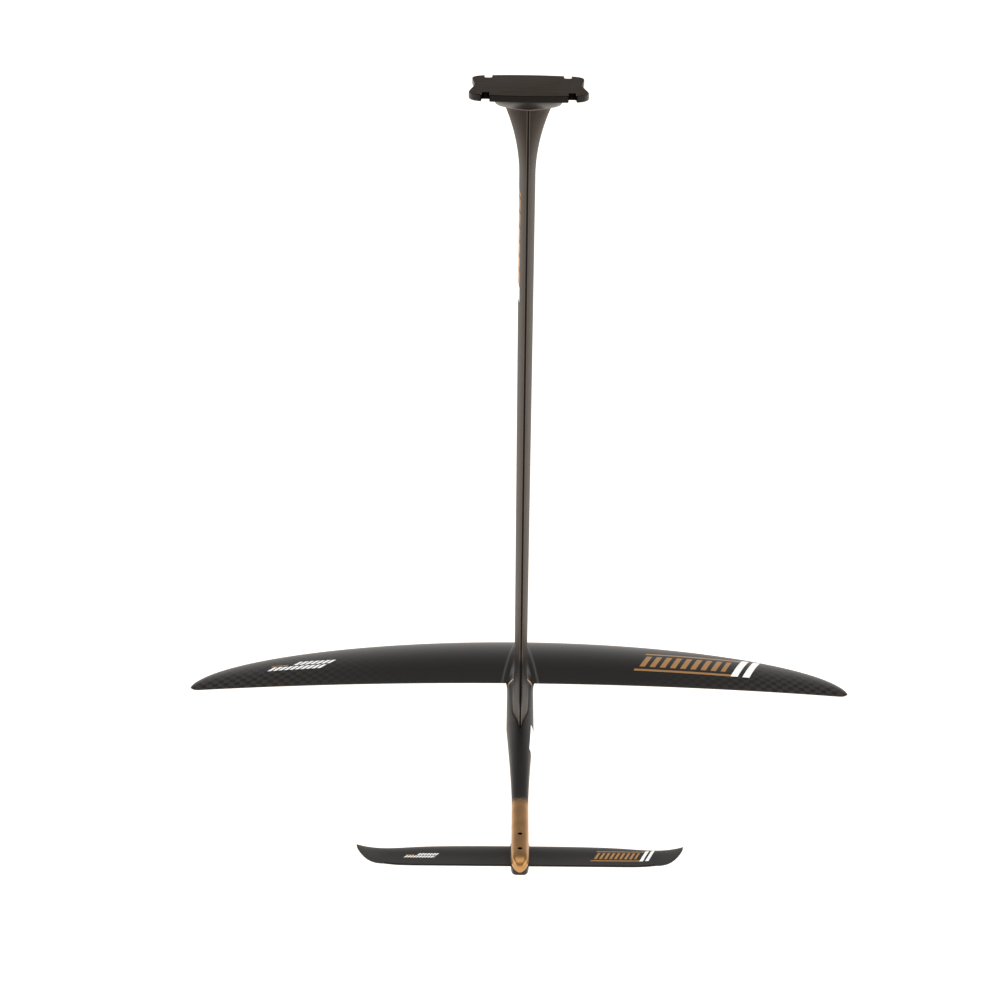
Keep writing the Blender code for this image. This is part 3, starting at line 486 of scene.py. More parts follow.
def plate_finish():
    make = Finish("plate_moulded_black", {"Specular IOR Level": 0.06, "Coat Roughness": 0.28})
    facing = make.node("TexCoord", {}, {}, "Normal")
    upness = make.node("SeparateXYZ", {}, {0: facing}, 2)
    matt = upness.ease(0.90, 0.99)
    streak = make.noise((14.0, 60.0, 60.0), 4.0, 0.6)
    speck = make.noise((900.0, 900.0, 900.0), 2.0, 0.6)
    brown = make.blend(streak.ease(0.3, 0.7), (0.026, 0.0172, 0.0112), (0.040, 0.027, 0.0185))
    # The top is brown, and the faces turned away from it are painted blacker: painted shade on the sides and
    # underside.
    black = make.blend(speck, (0.005, 0.004, 0.0035), (0.010, 0.008, 0.007))
    colour = make.blend(matt, black, brown)
    x, y, _ = make.axes()
    reach = SLOT_HALF_WIDTH + SLOT_SURROUND
    beside = (x.of("ABSOLUTE") - SLOT_PLACE[0]).of("ABSOLUTE") < reach
    in_slot = beside * (y.of("ABSOLUTE") > SLOT_PLACE[1] - reach)
    # The rounded top rim and the slots go blackest: a painted shade line on the rim and painted shade inside
    # the slots.
    dark = upness.within(0.10, 0.92).most(in_slot)
    colour = make.blend(dark, colour, (0.002, 0.0015, 0.001))
    rough = 0.34 + matt * 0.36 + speck * 0.08
    height = speck * (0.3 + matt * 0.7) + streak * 0.4
    shine = {"Coat Weight": (1.0 - matt) * (1.0 - dark) * 0.10}
    return make.wear(colour, rough, height=height, lift=0.12 * MM, extra=shine)


PLATE_BLACK = plate_finish()
print(PLATE_BLACK.name, "has", len(PLATE_BLACK.node_tree.nodes), "nodes")

# %% [markdown]
# ## Fibres along the blade: the mast
#
# The mast is laid up from carbon whose fibres run its whole length, under a satin clear coat that warms
# them to a grey-brown. Long thin streaks come from noise squeezed across the blade and stretched along it.
# The blunt trailing edge gets a painted shade line between two painted highlight lines, and the top of the
# head a painted highlight line. Just above the fuselage there is a band of painted shade, nearly black, where
# the front wing shades the blade. A plain row of printed bars sits on the left flank.

# %% Printed bars, and the mast's finish
# Painted shade and highlights: a dark line down the trailing edge, light strips beside it, a light line on the
# head's top, and a dark band where the front wing shades the blade.
EDGE_SHADE_LINE = 0.9 * MM
EDGE_HIGHLIGHT_STRIPS = (1.0 * MM, 1.9 * MM)
HEAD_HIGHLIGHT_LINE = 1.0 * MM
WING_SHADE_Z = -678.0 * MM
WING_SHADE_FADE = (22.0 * MM, 36.0 * MM)
MARK_Y = (-24.0 * MM, 25.0 * MM)
MARK_SLANT = 0.10


def bars(across, along, start, end, low, high, pitch, share, slant):
    """1 on slanted bars: a parallelogram from start to end, low to high, whose sawtooth is under share."""
    lean = across - (along - low) * slant
    inside = lean.within(start, end) * along.within(low, high)
    return inside * (((lean - start) / pitch).of("FRACT") < share)


def mast_finish():
    make = Finish("mast_satin_carbon", {"Specular IOR Level": 0.07, **INK_GLOW})
    x, y, z = make.axes()
    fibre = make.noise((1500.0, 700.0, 7.0), 3.0, 0.6)
    patch = make.noise((25.0, 12.0, 4.0), 2.0)
    tone = fibre * 0.75 + patch * 0.25
    colour = make.blend(tone.ease(0.25, 0.75), (0.018, 0.0128, 0.0095), (0.037, 0.0270, 0.0200))
    # Painted shade down the trailing edge, painted highlights beside it and on the head's top, and painted
    # shade just above the fuselage.
    behind = y < 0.0
    off_centre = x.of("ABSOLUTE")
    colour = make.blend((off_centre < EDGE_SHADE_LINE) * behind, colour, (0.008, 0.006, 0.005))
    colour = make.blend(off_centre.within(*EDGE_HIGHLIGHT_STRIPS) * behind, colour, (0.090, 0.072, 0.058))
    colour = make.blend(z > HEAD_TOP - HEAD_HIGHLIGHT_LINE, colour, (0.150, 0.125, 0.105))
    beyond = (z - WING_SHADE_Z).of("ABSOLUTE").ease(*WING_SHADE_FADE)
    colour = make.blend(beyond, (0.004, 0.0037, 0.0035), colour)
    flank = x < 0.0
    gold = bars(z, y, -214.0 * MM, -114.0 * MM, *MARK_Y, 16.0 * MM, 0.80, MARK_SLANT) * flank
    white = bars(z, y, -234.0 * MM, -216.0 * MM, *MARK_Y, 18.0 * MM, 0.90, MARK_SLANT) * flank
    colour = make.blend(gold, colour, GOLD_PRINT)
    colour = make.blend(white, colour, WHITE_PRINT)
    rough = 0.40 + fibre * 0.14
    # The white bars glow faintly: painted light.
    glow = {"Emission Color": make.blend(white, (0.0, 0.0, 0.0), WHITE_PRINT)}
    return make.wear(colour, rough, height=fibre, lift=0.05 * MM, extra=glow)


MAST_CARBON = mast_finish()
print(MAST_CARBON.name, "has", len(MAST_CARBON.node_tree.nodes), "nodes")

# %% [markdown]
# ## Spread tow: the wings
#
# Both wings are skinned in spread-tow carbon: flat tapes, woven in squares, whose fibres run across in one
# square and along in the next. They shine differently, so a faint chequer shows, most of all towards the
# tips where the skin is thin. A checker texture would also switch with height, so z is flattened to nothing.
# The printed marks are rows of plain slanted bars, on the upper side only. White ink glows faintly, as painted
# light, so that it stays white in the dark part of the room.

# %% Wing finish
TOW_WIDTH = 7.0 * MM
TOW_SHOWS = (100.0 * MM, 400.0 * MM)
WING_REAR_Y = 88.0 * MM
# A painted highlight along the foot of the front wing's hub fillet.
FILLET_HIGHLIGHT_LENGTH = 118.0 * MM
FILLET_HIGHLIGHT_START = 3.0 * MM
FILLET_HIGHLIGHT_SWING = 19.5 * MM
FILLET_HIGHLIGHT_POWER = 0.75
FILLET_HIGHLIGHT_FADE = (0.3 * MM, 2.2 * MM)
REAR_WING_REAR_Y = -346.0 * MM
# The rear wing's rear half is painted lighter, as painted light, and its trailing edge gets a dark line of
# painted shade.
REAR_PAINTED_LIGHT = (4.0 * MM, 26.0 * MM)
REAR_EDGE_SHADE_WIDTH = 1.6 * MM
REAR_EDGE_SHADE_HALF_SPAN = 140.0 * MM


def tow_pattern(make, side):
    """Fibre streaks that turn a quarter from square to square, and the squares themselves."""
    flat = make.node("VectorMath", {"operation": "MULTIPLY_ADD"},
                     {0: make.place, 1: (1.0 / side, 1.0 / side, 0.0), 2: (100.5, 100.5, 0.5)})
    square = make.node("TexChecker", {}, {"Vector": flat, "Scale": 1.0}, "Fac")
    across = make.noise((60.0, 1400.0, 60.0), 2.0)
    along = make.noise((1400.0, 60.0, 60.0), 2.0)
    fibre = across * square + along * (1.0 - square)
    return square, fibre


def fillet_highlight(x, y, colour, make):
    """A painted highlight along the foot of the hub's fillet on the front wing, swinging out towards the rear.
    """
    left = 1.0 - (y - WING_REAR_Y) / FILLET_HIGHLIGHT_LENGTH
    swing = left.most(0.0).power(FILLET_HIGHLIGHT_POWER)
    stray = (x.of("ABSOLUTE") - FILLET_HIGHLIGHT_START - swing * FILLET_HIGHLIGHT_SWING).of("ABSOLUTE")
    painted_highlight = (1.0 - stray.ease(*FILLET_HIGHLIGHT_FADE)) * (left > 0.0)
    return make.blend(painted_highlight, colour, (0.085, 0.078, 0.072))


def trailing_light_and_shade(x, y, colour, make):
    """The rear wing's rear half, painted lighter as painted light, and its trailing edge, a dark line of
    painted shade.
    """
    from_rear = y - REAR_WING_REAR_Y
    colour = make.blend(from_rear.ease(*REAR_PAINTED_LIGHT), (0.048, 0.045, 0.044), colour)
    edge = (from_rear < REAR_EDGE_SHADE_WIDTH) * (x.of("ABSOLUTE") < REAR_EDGE_SHADE_HALF_SPAN)
    return make.blend(edge, colour, (0.003, 0.003, 0.003))


def wing_finish(name, prints, dark, light, detail):
    """The skin of a wing, from its dark and light fibres and its printed marks: each is a row of bars and the
    colour they have. The detail is the function that paints the painted light and shade that only this wing
    has."""
    make = Finish(name, {"Specular IOR Level": 0.5, **INK_GLOW})
    x, y, _ = make.axes()
    square, fibre = tow_pattern(make, TOW_WIDTH)
    outward = x.of("ABSOLUTE").ease(*TOW_SHOWS)
    weave = square * (0.06 + outward * 0.94)
    tone = fibre * 0.25 + weave * 0.75
    colour = make.blend(tone, dark, light)
    colour = detail(x, y, colour, make)
    facing = make.node("TexCoord", {}, {}, "Normal")
    upper = make.node("SeparateXYZ", {}, {0: facing}, 2) > 0.2
    # White ink glows faintly: painted light.
    glow = (0.0, 0.0, 0.0)
    for start, end, low, high, pitch, share, slant, ink in prints:
        mark = bars(x, y, start * MM, end * MM, low * MM, high * MM, pitch * MM, share, slant)
        colour = make.blend(mark * upper, colour, ink)
        if ink is WHITE_PRINT:
            glow = make.blend(mark * upper, glow, ink)
    rough = 0.34 + fibre * 0.05 + weave * 0.05
    height = fibre * 0.5 + weave
    return make.wear(colour, rough, height=height, lift=0.03 * MM, extra={"Emission Color": glow})


# Each row: start, end, low, high, pitch, share, slant, ink. The lengths are millimetres.
FRONT_PRINTS = [
    (144.0, 272.0, 120.5, 125.0, 400.0, 1.0, 0.40, GOLD_PRINT),
    (162.0, 290.0, 165.5, 169.5, 400.0, 1.0, 0.40, GOLD_PRINT),
    (152.0, 262.0, 131.0, 160.0, 13.0, 0.55, 0.40, GOLD_PRINT),
    (268.0, 294.0, 121.0, 172.0, 15.0, 0.60, 0.40, WHITE_PRINT),
    (-322.0, -252.0, 129.0, 138.0, 7.0, 0.66, 0.85, WHITE_PRINT),
    (-290.0, -243.0, 140.5, 149.5, 7.0, 0.66, 0.85, WHITE_PRINT),
    (-318.0, -297.0, 140.5, 142.5, 400.0, 1.0, 0.85, GOLD_PRINT),
]
REAR_PRINTS = [
    (73.0, 126.0, -337.0, -335.2, 400.0, 1.0, 0.40, GOLD_PRINT),
    (80.0, 132.0, -319.0, -317.4, 400.0, 1.0, 0.40, GOLD_PRINT),
    (77.0, 121.0, -333.0, -321.0, 5.2, 0.55, 0.40, GOLD_PRINT),
    (124.0, 134.5, -337.0, -317.0, 6.0, 0.60, 0.40, WHITE_PRINT),
    (-120.5, -90.0, -333.0, -329.4, 3.0, 0.66, 0.85, WHITE_PRINT),
    (-107.0, -86.5, -328.4, -324.8, 3.0, 0.66, 0.85, WHITE_PRINT),
    (-119.0, -110.0, -328.4, -327.4, 400.0, 1.0, 0.85, GOLD_PRINT),
]
FRONT_SKIN = wing_finish("front_wing_spread_tow", FRONT_PRINTS, (0.0045, 0.0040, 0.0038),
                         (0.042, 0.0350, 0.0310), fillet_highlight)
# The rear wing's dark fibre colour is over twice the front wing's: painted light on the same carbon.
REAR_SKIN = wing_finish("rear_wing_spread_tow", REAR_PRINTS, (0.010, 0.0090, 0.0090),
                        (0.036, 0.033, 0.032), trailing_light_and_shade)
print(FRONT_SKIN.name, "has", len(FRONT_SKIN.node_tree.nodes), "nodes and",
      REAR_SKIN.name, "has", len(REAR_SKIN.node_tree.nodes))

# %% [markdown]
# ## Black fading to gold: the fuselage
#
# The fuselage is sprayed satin black over a fine twill, and its tail is misted over with gold. A spray edge
# is never a line: droplets thin out over a finger's width. The fade is a smooth step along y, pushed about
# by noise, so that it breaks into specks. A plain white label lies high on the right side, and the tail's two
# holes are black inside.

# %% Fuselage finish
GOLD_FADE = (228.0 * MM, 250.0 * MM)
LABEL_LEFT = 6.0 * MM
LABEL_Y = (-118.0 * MM, -54.0 * MM)
LABEL_Z = (FUSE_AXIS - 9.0 * MM, FUSE_AXIS + 9.7 * MM)
LABEL_SLANT = 0.8
TAIL_HOLE_RADIUS = 2.4 * MM


def fuselage_finish():
    make = Finish("fuselage_spray", {"Specular IOR Level": 0.20, **INK_GLOW})
    x, y, z = make.axes()
    speck = make.noise((420.0, 420.0, 420.0), 3.0, 0.7)
    cloud = make.noise((70.0, 45.0, 70.0), 3.0)
    twill = ((x + y + z * 0.6) * 3300.0).of("SINE") * 0.5 + 0.5
    black = make.blend(twill * 0.6 + speck * 0.4, (0.003, 0.0027, 0.0025), (0.018, 0.0155, 0.0142))
    gold = make.blend(cloud.ease(0.3, 0.7), (0.44, 0.235, 0.088), (0.53, 0.285, 0.108))
    spray = (y * -1.0 + (speck - 0.5) * 0.030 + (cloud - 0.5) * 0.012).ease(*GOLD_FADE)
    colour = make.blend(spray, black, gold)
    lean = y - (z - FUSE_AXIS) * LABEL_SLANT
    label = (x > LABEL_LEFT) * lean.within(*LABEL_Y) * z.within(*LABEL_Z)
    colour = make.blend(label, colour, WHITE_PRINT)
    for place in ("front", "rear"):
        away = y - middle_of("rear_wing_insert_" + place)
        well = (x * x + away * away).of("SQRT") < TAIL_HOLE_RADIUS + 0.05 * MM
        colour = make.blend(well, colour, (0.004, 0.003, 0.003))
    rough = 0.38 + twill * 0.05 - spray * 0.12 + speck * 0.05
    height = speck * 0.6 + twill * 0.4
    # The white label glows faintly: painted light.
    glow = {"Emission Color": make.blend(label, (0.0, 0.0, 0.0), WHITE_PRINT)}
    return make.wear(colour, rough, spray * 0.70, height=height, lift=0.04 * MM, extra=glow)


FUSELAGE_SPRAY = fuselage_finish()
print(FUSELAGE_SPRAY.name, "has", len(FUSELAGE_SPRAY.node_tree.nodes), "nodes")

# %% [markdown]
# ## Small finishes
#
# The trim ring is gold-anodised aluminium with fine turning lines, the seal is grey rubber, the screws are
# stainless steel, the inserts are brass, the shim is hard black plastic and the mast's core is cream foam.
# One function covers them, because each is two close colours, a grain and a bump. The inserts, the washers
# and the core are plain turned or lofted shapes already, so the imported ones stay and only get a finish.

# %% Metal, rubber, plastic and foam


def small_finish(name, dark, light, scale, rough, metallic, lift, shade_heights=None):
    """Two close colours mixed by a grain that also roughens and lifts the surface a little. Painted shade, if
    its two heights are given, darkens everything below the first and thins out up to the second."""
    make = Finish(name, {"Metallic": metallic})
    grain = make.noise(scale, 3.0, 0.6)
    colour = make.blend(grain.ease(0.25, 0.75), dark, light)
    if shade_heights:
        colour = make.blend(make.axes()[2].ease(*shade_heights), (0.020, 0.017, 0.015), colour)
    return make.wear(colour, rough + grain * 0.12, height=grain, lift=lift * MM)


# Painted shade on the gold ring: dark below a few millimetres above the fuselage's axis.
RING_SHADE = (FUSE_AXIS + 5.0 * MM, FUSE_AXIS + 9.0 * MM)
RING_GOLD = small_finish("ring_gold", (0.66, 0.40, 0.22), (0.84, 0.56, 0.33), (300, 4000, 300),
                         0.22, 1.0, 0.01, RING_SHADE)
SEAL_RUBBER = small_finish("seal_rubber", (0.050, 0.050, 0.052), (0.085, 0.085, 0.088), (800, 800, 800),
                           0.5, 0.0, 0.03)
STEEL = small_finish("screw_stainless", (0.42, 0.42, 0.43), (0.60, 0.60, 0.61), (500, 500, 2500),
                     0.20, 1.0, 0.01)
BRASS = small_finish("insert_brass_turned", (0.50, 0.33, 0.12), (0.68, 0.48, 0.20), (500, 500, 3000),
                     0.22, 1.0, 0.02)
SHIM = small_finish("shim_plastic", (0.010, 0.010, 0.011), (0.020, 0.020, 0.021), (900, 900, 900),
                    0.45, 0.0, 0.02)
FOAM = small_finish("core_foam_cells", (0.60, 0.54, 0.38), (0.78, 0.72, 0.56), (1400, 1400, 1400),
                    0.8, 0.0, 0.20)
KEPT = {"mast_core": FOAM}
KEPT.update({name: BRASS for name in nodes if "insert" in name})
KEPT.update({name: STEEL for name in nodes if "washer" in name})
for name, finish in KEPT.items():
    nodes[name].data.materials.clear()
    nodes[name].data.materials.append(finish)
print("kept nodes with a new finish:", sorted(KEPT))

# %% [markdown]
# ## Blade sections
#
# A mast's section is a strut's: blunt at the trailing edge, widest past the middle, round at the nose. At
# the head it turns into a pointed lens, and at the foot into a wedge with a long nose. Each is a half width
# over the chord, at most 1, so that they can be mixed. The trailing edge's two corners are rounded off by a
# fraction of a millimetre, which is what catches the light there.

# %% Blade section
EDGE_ROUND = 0.6 * MM
EDGE_ROUND_DEPTH = 0.54 * MM
MAST_EDGE = 2.2 * MM
MAST_REAR = (-56.0 * MM, -62.0 * MM)
MAST_FRONT = (66.0 * MM, 56.0 * MM)
HEAD_POWERS = (1.2, 2.0)
FOOT_WEDGE = 0.42
FOOT_NOSE_POWER = 2.5


def chord_shares(count=64):
    """Places along a chord from the trailing edge, 0, to the leading edge, 1, closer at both ends."""
    return (1.0 - np.cos(np.linspace(0.0, math.pi, count)))[None, :] / 2


def blade_shape(power):
    """A strut's half width: s^p * sqrt(1 - s), over its own peak."""
    share = chord_shares()
    peak = power / (power + 0.5)
    return share ** power * np.sqrt(1.0 - share) / (peak ** power * math.sqrt(1.0 - peak))


def lens_shape():
    """The head's half width: (1 - u^2)^(1 / 1.2), with u from 0 over the middle to 1 at either end."""
    y = MAST_REAR[0] + chord_shares() * (MAST_FRONT[0] - MAST_REAR[0])
    u = np.abs(y / np.where(y > 0, MAST_FRONT[0], MAST_REAR[0]))
    return (1.0 - np.minimum(u, 1.0) ** HEAD_POWERS[1]) ** (1.0 / HEAD_POWERS[0])


def foot_shape():
    """The foot's half width: r * (7 - r^6) / 6 up a straight wedge, then a nose sqrt(1 - n^2.5)."""
    share = chord_shares()
    ramp = np.minimum(share / FOOT_WEDGE, 1.0)
    nose = np.clip((share - FOOT_WEDGE) / (1.0 - FOOT_WEDGE), 0.0, 1.0)
    return ramp * (7.0 - ramp ** 6) / 6.0 * np.sqrt(1.0 - nose ** FOOT_NOSE_POWER)


def sections(trailing, leading, half_width, edge, shape):
    """Half width = w * shape + edge / 2 * (1 - s), with s the share of the chord, for whole columns of
    sections at once; returns (rows, columns, 2)."""
    trailing, leading, half_width = (np.asarray(v, float)[:, None] for v in (trailing, leading, half_width))
    share = chord_shares()
    half = half_width * shape + edge / 2 * (1.0 - share)
    y = trailing + share * (leading - trailing)
    near = np.clip(1.0 - (y - trailing) / EDGE_ROUND, 0.0, 1.0)
    half = half - EDGE_ROUND_DEPTH * (1.0 - np.sqrt(1.0 - near ** 2))
    half, y = np.broadcast_arrays(half, y)
    right = np.stack([half, y], axis=2)
    left = np.stack([-half, y], axis=2)
    return np.concatenate([right, left[:, -2::-1]], axis=1)


print("a section has", chord_shares().shape[1], "points on each side")

# %% [markdown]
# ## The mast
#
# The real mast is one carbon moulding. Its head flares out to a pointed lens against the plate, its blade
# thins a little on the way down, and its foot flares again where it drops into the fuselage. A tenon above
# the head sits in the plate's pocket. The whole is a stack of blade sections, close together where the
# shape bends. The hollow for the core and the bores for the inserts are cut afterwards. The cutters for the
# other pieces' screws are written here too, from a table of the three kinds of screw.

# %% Mast
HEAD_HALF_WIDTH = 30.0 * MM
HEAD_FLARE = 78.0 * MM
HEAD_LIP = 4.0 * MM
HEAD_LIP_WIDTH = 4.0 * MM
MAST_THICK = (18.5 * MM, 14.5 * MM)
REAR_SETTLED = 0.25
BLADE_POWER = 0.75
FOOT_FLARE = 42.0 * MM
FOOT_RISE = 26.0 * MM
FOOT_HALF_WIDTH = 9.0 * MM
TENON_INSET = 10.0 * MM
TENON_HALF_WIDTH = 12.0 * MM
TENON_POWER = 0.65
CORE_WALL = 2.5 * MM
CORE_INSET = 14.0 * MM
CORE_FOOT = 42.0 * MM
# Each kind of screw: its shank's radius, its head's radius and its head's height.
SCREWS = {
    "mast_screw": (4.0 * MM, 6.5 * MM, 5.0 * MM),
    "front_wing_screw": (3.0 * MM, 5.0 * MM, 4.2 * MM),
    "rear_wing_screw": (2.5 * MM, 4.5 * MM, 3.0 * MM),
}


def smooth_step(value):
    """3 v^2 - 2 v^3 between 0 and 1."""
    value = np.clip(value, 0.0, 1.0)
    return value * value * (3.0 - 2.0 * value)


def mast_sections(z, thinner=0.0, shorter=0.0, edge=MAST_EDGE):
    """Mast sections at heights: the width is a straight taper plus a squared flare at the head and a smooth
    step at the foot, and the same flares mix the three shapes."""
    z = np.asarray(z, float)
    down = np.clip((HEAD_TOP - z) / (HEAD_TOP - FUSE_TOP), 0.0, 1.0)
    head = np.clip(1.0 - (HEAD_TOP - z) / HEAD_FLARE, 0.0, 1.0)
    lip = np.clip(1.0 - (HEAD_TOP - z) / HEAD_LIP, 0.0, 1.0)
    foot = smooth_step((FUSE_TOP + FOOT_FLARE - z) / FOOT_RISE)
    half = (MAST_THICK[0] + down * (MAST_THICK[1] - MAST_THICK[0])) / 2
    half = half + head ** 2 * (HEAD_HALF_WIDTH - HEAD_LIP_WIDTH - MAST_THICK[0] / 2)
    half = half + lip ** 2 * HEAD_LIP_WIDTH
    half = half + foot * (FOOT_HALF_WIDTH - MAST_THICK[1] / 2)
    rear = MAST_REAR[0] + np.minimum(down / REAR_SETTLED, 1.0) * (MAST_REAR[1] - MAST_REAR[0]) + shorter
    front = MAST_FRONT[0] + down * (MAST_FRONT[1] - MAST_FRONT[0]) - shorter
    head, foot = head[:, None], foot[:, None]
    shape = (1.0 - head - foot) * blade_shape(BLADE_POWER) + head * lens_shape() + foot * foot_shape()
    return sections(rear, front, half - thinner - MAST_EDGE / 5, edge, shape)


def tenon_sections(grow):
    """The tenon's section twice, or with grow the pocket around it."""
    return sections([MAST_REAR[0] + TENON_INSET - grow] * 2, [MAST_FRONT[0] - TENON_INSET + grow] * 2,
                    [TENON_HALF_WIDTH + grow] * 2, MAST_EDGE + 2 * grow, blade_shape(TENON_POWER))


def mast_core_grid(grow, high, low):
    """The hollow for the foam core: sections inside the wall, straight up past the head."""
    levels = np.array([high, HEAD_TOP - HEAD_FLARE, (HEAD_TOP - HEAD_FLARE + low) / 2, low])
    shaped = mast_sections(np.minimum(levels, HEAD_TOP - HEAD_FLARE), CORE_WALL - grow, CORE_INSET - grow,
                           MAST_EDGE / 2 + 2 * grow)
    return ring_stack(shaped, levels)


head_levels = HEAD_TOP - HEAD_FLARE * np.linspace(0.0, 1.0, 40) ** 1.6
blade_levels = np.linspace(HEAD_TOP - HEAD_FLARE, FUSE_TOP + FOOT_FLARE, 26)[1:-1]
foot_levels = FUSE_TOP + FOOT_FLARE * np.linspace(1.0, 0.0, 24)
levels = np.concatenate([head_levels, blade_levels, foot_levels])
tenon = ring_stack(tenon_sections(0.0), [TENON_TOP, HEAD_TOP])
body = ring_stack(mast_sections(levels), levels)
foot = ring_stack(mast_sections(levels[-1:]), [FOOT_BOTTOM])
mast_mesh = surface("mast_laminate", np.concatenate([tenon, body, foot]))


def bore(radius, y, low, high):
    """A round cutter standing on the centre line."""
    return surface("bore", turned([(radius, low), (radius, high)], (0.0, y, 0.0)))


def sizes_of(screw):
    """A screw's row in the table: its name is the row's and then its place."""
    return SCREWS[screw.rpartition("_")[0]]


def screw_bore(screw, low, high):
    """A stepped cutter for a screw on its head: wide for the head as far as its seat, then narrow."""
    radius, head_radius, head_height = sizes_of(screw)
    seat = span_of(screw, 2)[0] + head_height + GAP
    wide, narrow = head_radius + RUNNING, radius + RUNNING
    steps = [(wide, low), (wide, seat), (narrow, seat), (narrow, high)]
    return surface("screw_bore", turned(steps, (0.0, middle_of(screw), 0.0)))


mast_cuts = [surface("hollow", mast_core_grid(GAP, TENON_TOP + 1.0 * MM, FUSE_TOP + CORE_FOOT - GAP))]
for place in ("front", "rear"):
    name = "mast_insert_" + place
    radius = span_of(name, 0)[1] + GAP
    mast_cuts.append(bore(radius, middle_of(name), FUSE_AXIS, span_of(name, 2)[1] + 2 * GAP))
mast_mesh = carve(mast_mesh, *mast_cuts)
piece("mast_laminate", mast_mesh, MAST_CARBON, ["mast_blade"])

# %% [markdown]
# ## The plate
#
# The plate's outline is one corner, worked out as a waist, a rounded ear and a crowned end, then mirrored
# four ways. Its edges are rounded by drawing the outline in along its own normals as a quarter circle. Under
# it a boss narrows from a long box to the pointed lens of the mast's head, by mixing the two outlines.

# %% Plate
PLATE_EDGE = 7.2 * MM
PLATE_WAIST_HALF = 58.9 * MM
CORNER_LONG = 28.0 * MM
CORNER_WIDE = 16.0 * MM
CROWN = 8.5 * MM
TOP_ROUND = 0.7 * MM
LOW_ROUND = 2.2 * MM
BOSS_TOP = 2.4 * MM
BOSS_HALF_WIDTH = 38.0 * MM
BOSS_END_INSET = 0.6 * MM
BOSS_CORNER = 8.0
BOSS_NARROWS_EARLY = 0.35
BOSS_NARROWS_LATE = 12
BOSS_DRAWS_IN = 1.9


def plate_outline():
    """The plate from above: a sine-squared waist, an elliptical ear and a parabolic end, four times over."""
    ear_y = PLATE_HALF_LENGTH - CROWN - CORNER_LONG
    ear_x = PLATE_EAR_HALF - CORNER_WIDE
    run = np.linspace(0.0, ear_y, 40)[1:-1]
    side = PLATE_WAIST_HALF + (PLATE_EAR_HALF - PLATE_WAIST_HALF) * np.sin(run / ear_y * math.pi / 2) ** 2
    turn = np.linspace(0.0, math.pi / 2, 32)
    across = np.linspace(ear_x, 0.0, 28)[1:-1]
    x = np.concatenate([side, ear_x + CORNER_WIDE * np.cos(turn), across])
    y = np.concatenate([run, ear_y + CORNER_LONG * np.sin(turn),
                        PLATE_HALF_LENGTH - CROWN * (across / ear_x) ** 2])
    quarter = np.column_stack([x, y])
    right = np.concatenate([[[PLATE_WAIST_HALF, 0.0]], quarter, [[0.0, PLATE_HALF_LENGTH]]])
    upper = np.concatenate([right, quarter[::-1] * [-1.0, 1.0]])
    return np.concatenate([upper, -upper])


def drawn_in(outline, insets):
    """The outline moved inwards along its normals, once for each inset: shape (rows, columns, 2)."""
    ahead = np.roll(outline, -1, axis=0) - np.roll(outline, 1, axis=0)
    ahead = ahead / np.linalg.norm(ahead, axis=1)[:, None]
    outwards = np.column_stack([ahead[:, 1], -ahead[:, 0]])
    return outline[None] - np.asarray(insets, float)[:, None, None] * outwards[None]


def quarter_round(radius, steps):
    """Insets and depths of a rounded edge: 1 - cos and 1 - sin of a turning angle, times the radius."""
    angle = np.linspace(0.0, math.pi / 2, steps)
    return radius * (1.0 - np.sin(angle)), radius * (1.0 - np.cos(angle))


top_inset, top_depth = quarter_round(TOP_ROUND, 7)
low_inset, low_depth = quarter_round(LOW_ROUND, 9)
insets = np.concatenate([top_inset, low_inset[::-1]])
depths = np.concatenate([-top_depth, low_depth[::-1] - PLATE_EDGE])
plate_mesh = surface("plate_moulding", ring_stack(drawn_in(plate_outline(), insets), depths))


def superellipse(half_x, half_y, power_x, power_y, count=128):
    """Points where |x / a| ** p + |y / b| ** q is 1, worked out from the angle."""
    angle = np.arange(count) * 2.0 * math.pi / count
    x = half_x * np.sign(np.cos(angle)) * np.abs(np.cos(angle)) ** (2.0 / power_x)
    y = half_y * np.sign(np.sin(angle)) * np.abs(np.sin(angle)) ** (2.0 / power_y)
    return np.column_stack([x, y])


def boss_grid():
    """The boss: a box, whose ends follow the plate's crown, mixed into a lens. On the way down, d from 0 to
    1, its length draws in as d^1.9 and its width as 0.35 d + 0.65 d^12."""
    box = superellipse(BOSS_HALF_WIDTH, 1.0, BOSS_CORNER, BOSS_CORNER)
    crown = CROWN * (box[:, 0] / (PLATE_EAR_HALF - CORNER_WIDE)) ** 2
    box[:, 1] *= PLATE_HALF_LENGTH - BOSS_END_INSET - crown
    point = superellipse(HEAD_HALF_WIDTH, 1.0, *HEAD_POWERS)
    point[:, 1] *= np.where(point[:, 1] > 0, MAST_FRONT[0] + GAP, GAP - MAST_REAR[0])
    share = np.linspace(0.0, 1.0, 40)[:, None]
    narrow = BOSS_NARROWS_EARLY * share + (1.0 - BOSS_NARROWS_EARLY) * share ** BOSS_NARROWS_LATE
    x = box[None, :, 0] + narrow * (point[None, :, 0] - box[None, :, 0])
    y = box[None, :, 1] + share ** BOSS_DRAWS_IN * (point[None, :, 1] - box[None, :, 1])
    return ring_stack(np.stack([x, y], axis=2), -BOSS_TOP - share[:, 0] * (-BOSS_LOW - BOSS_TOP))


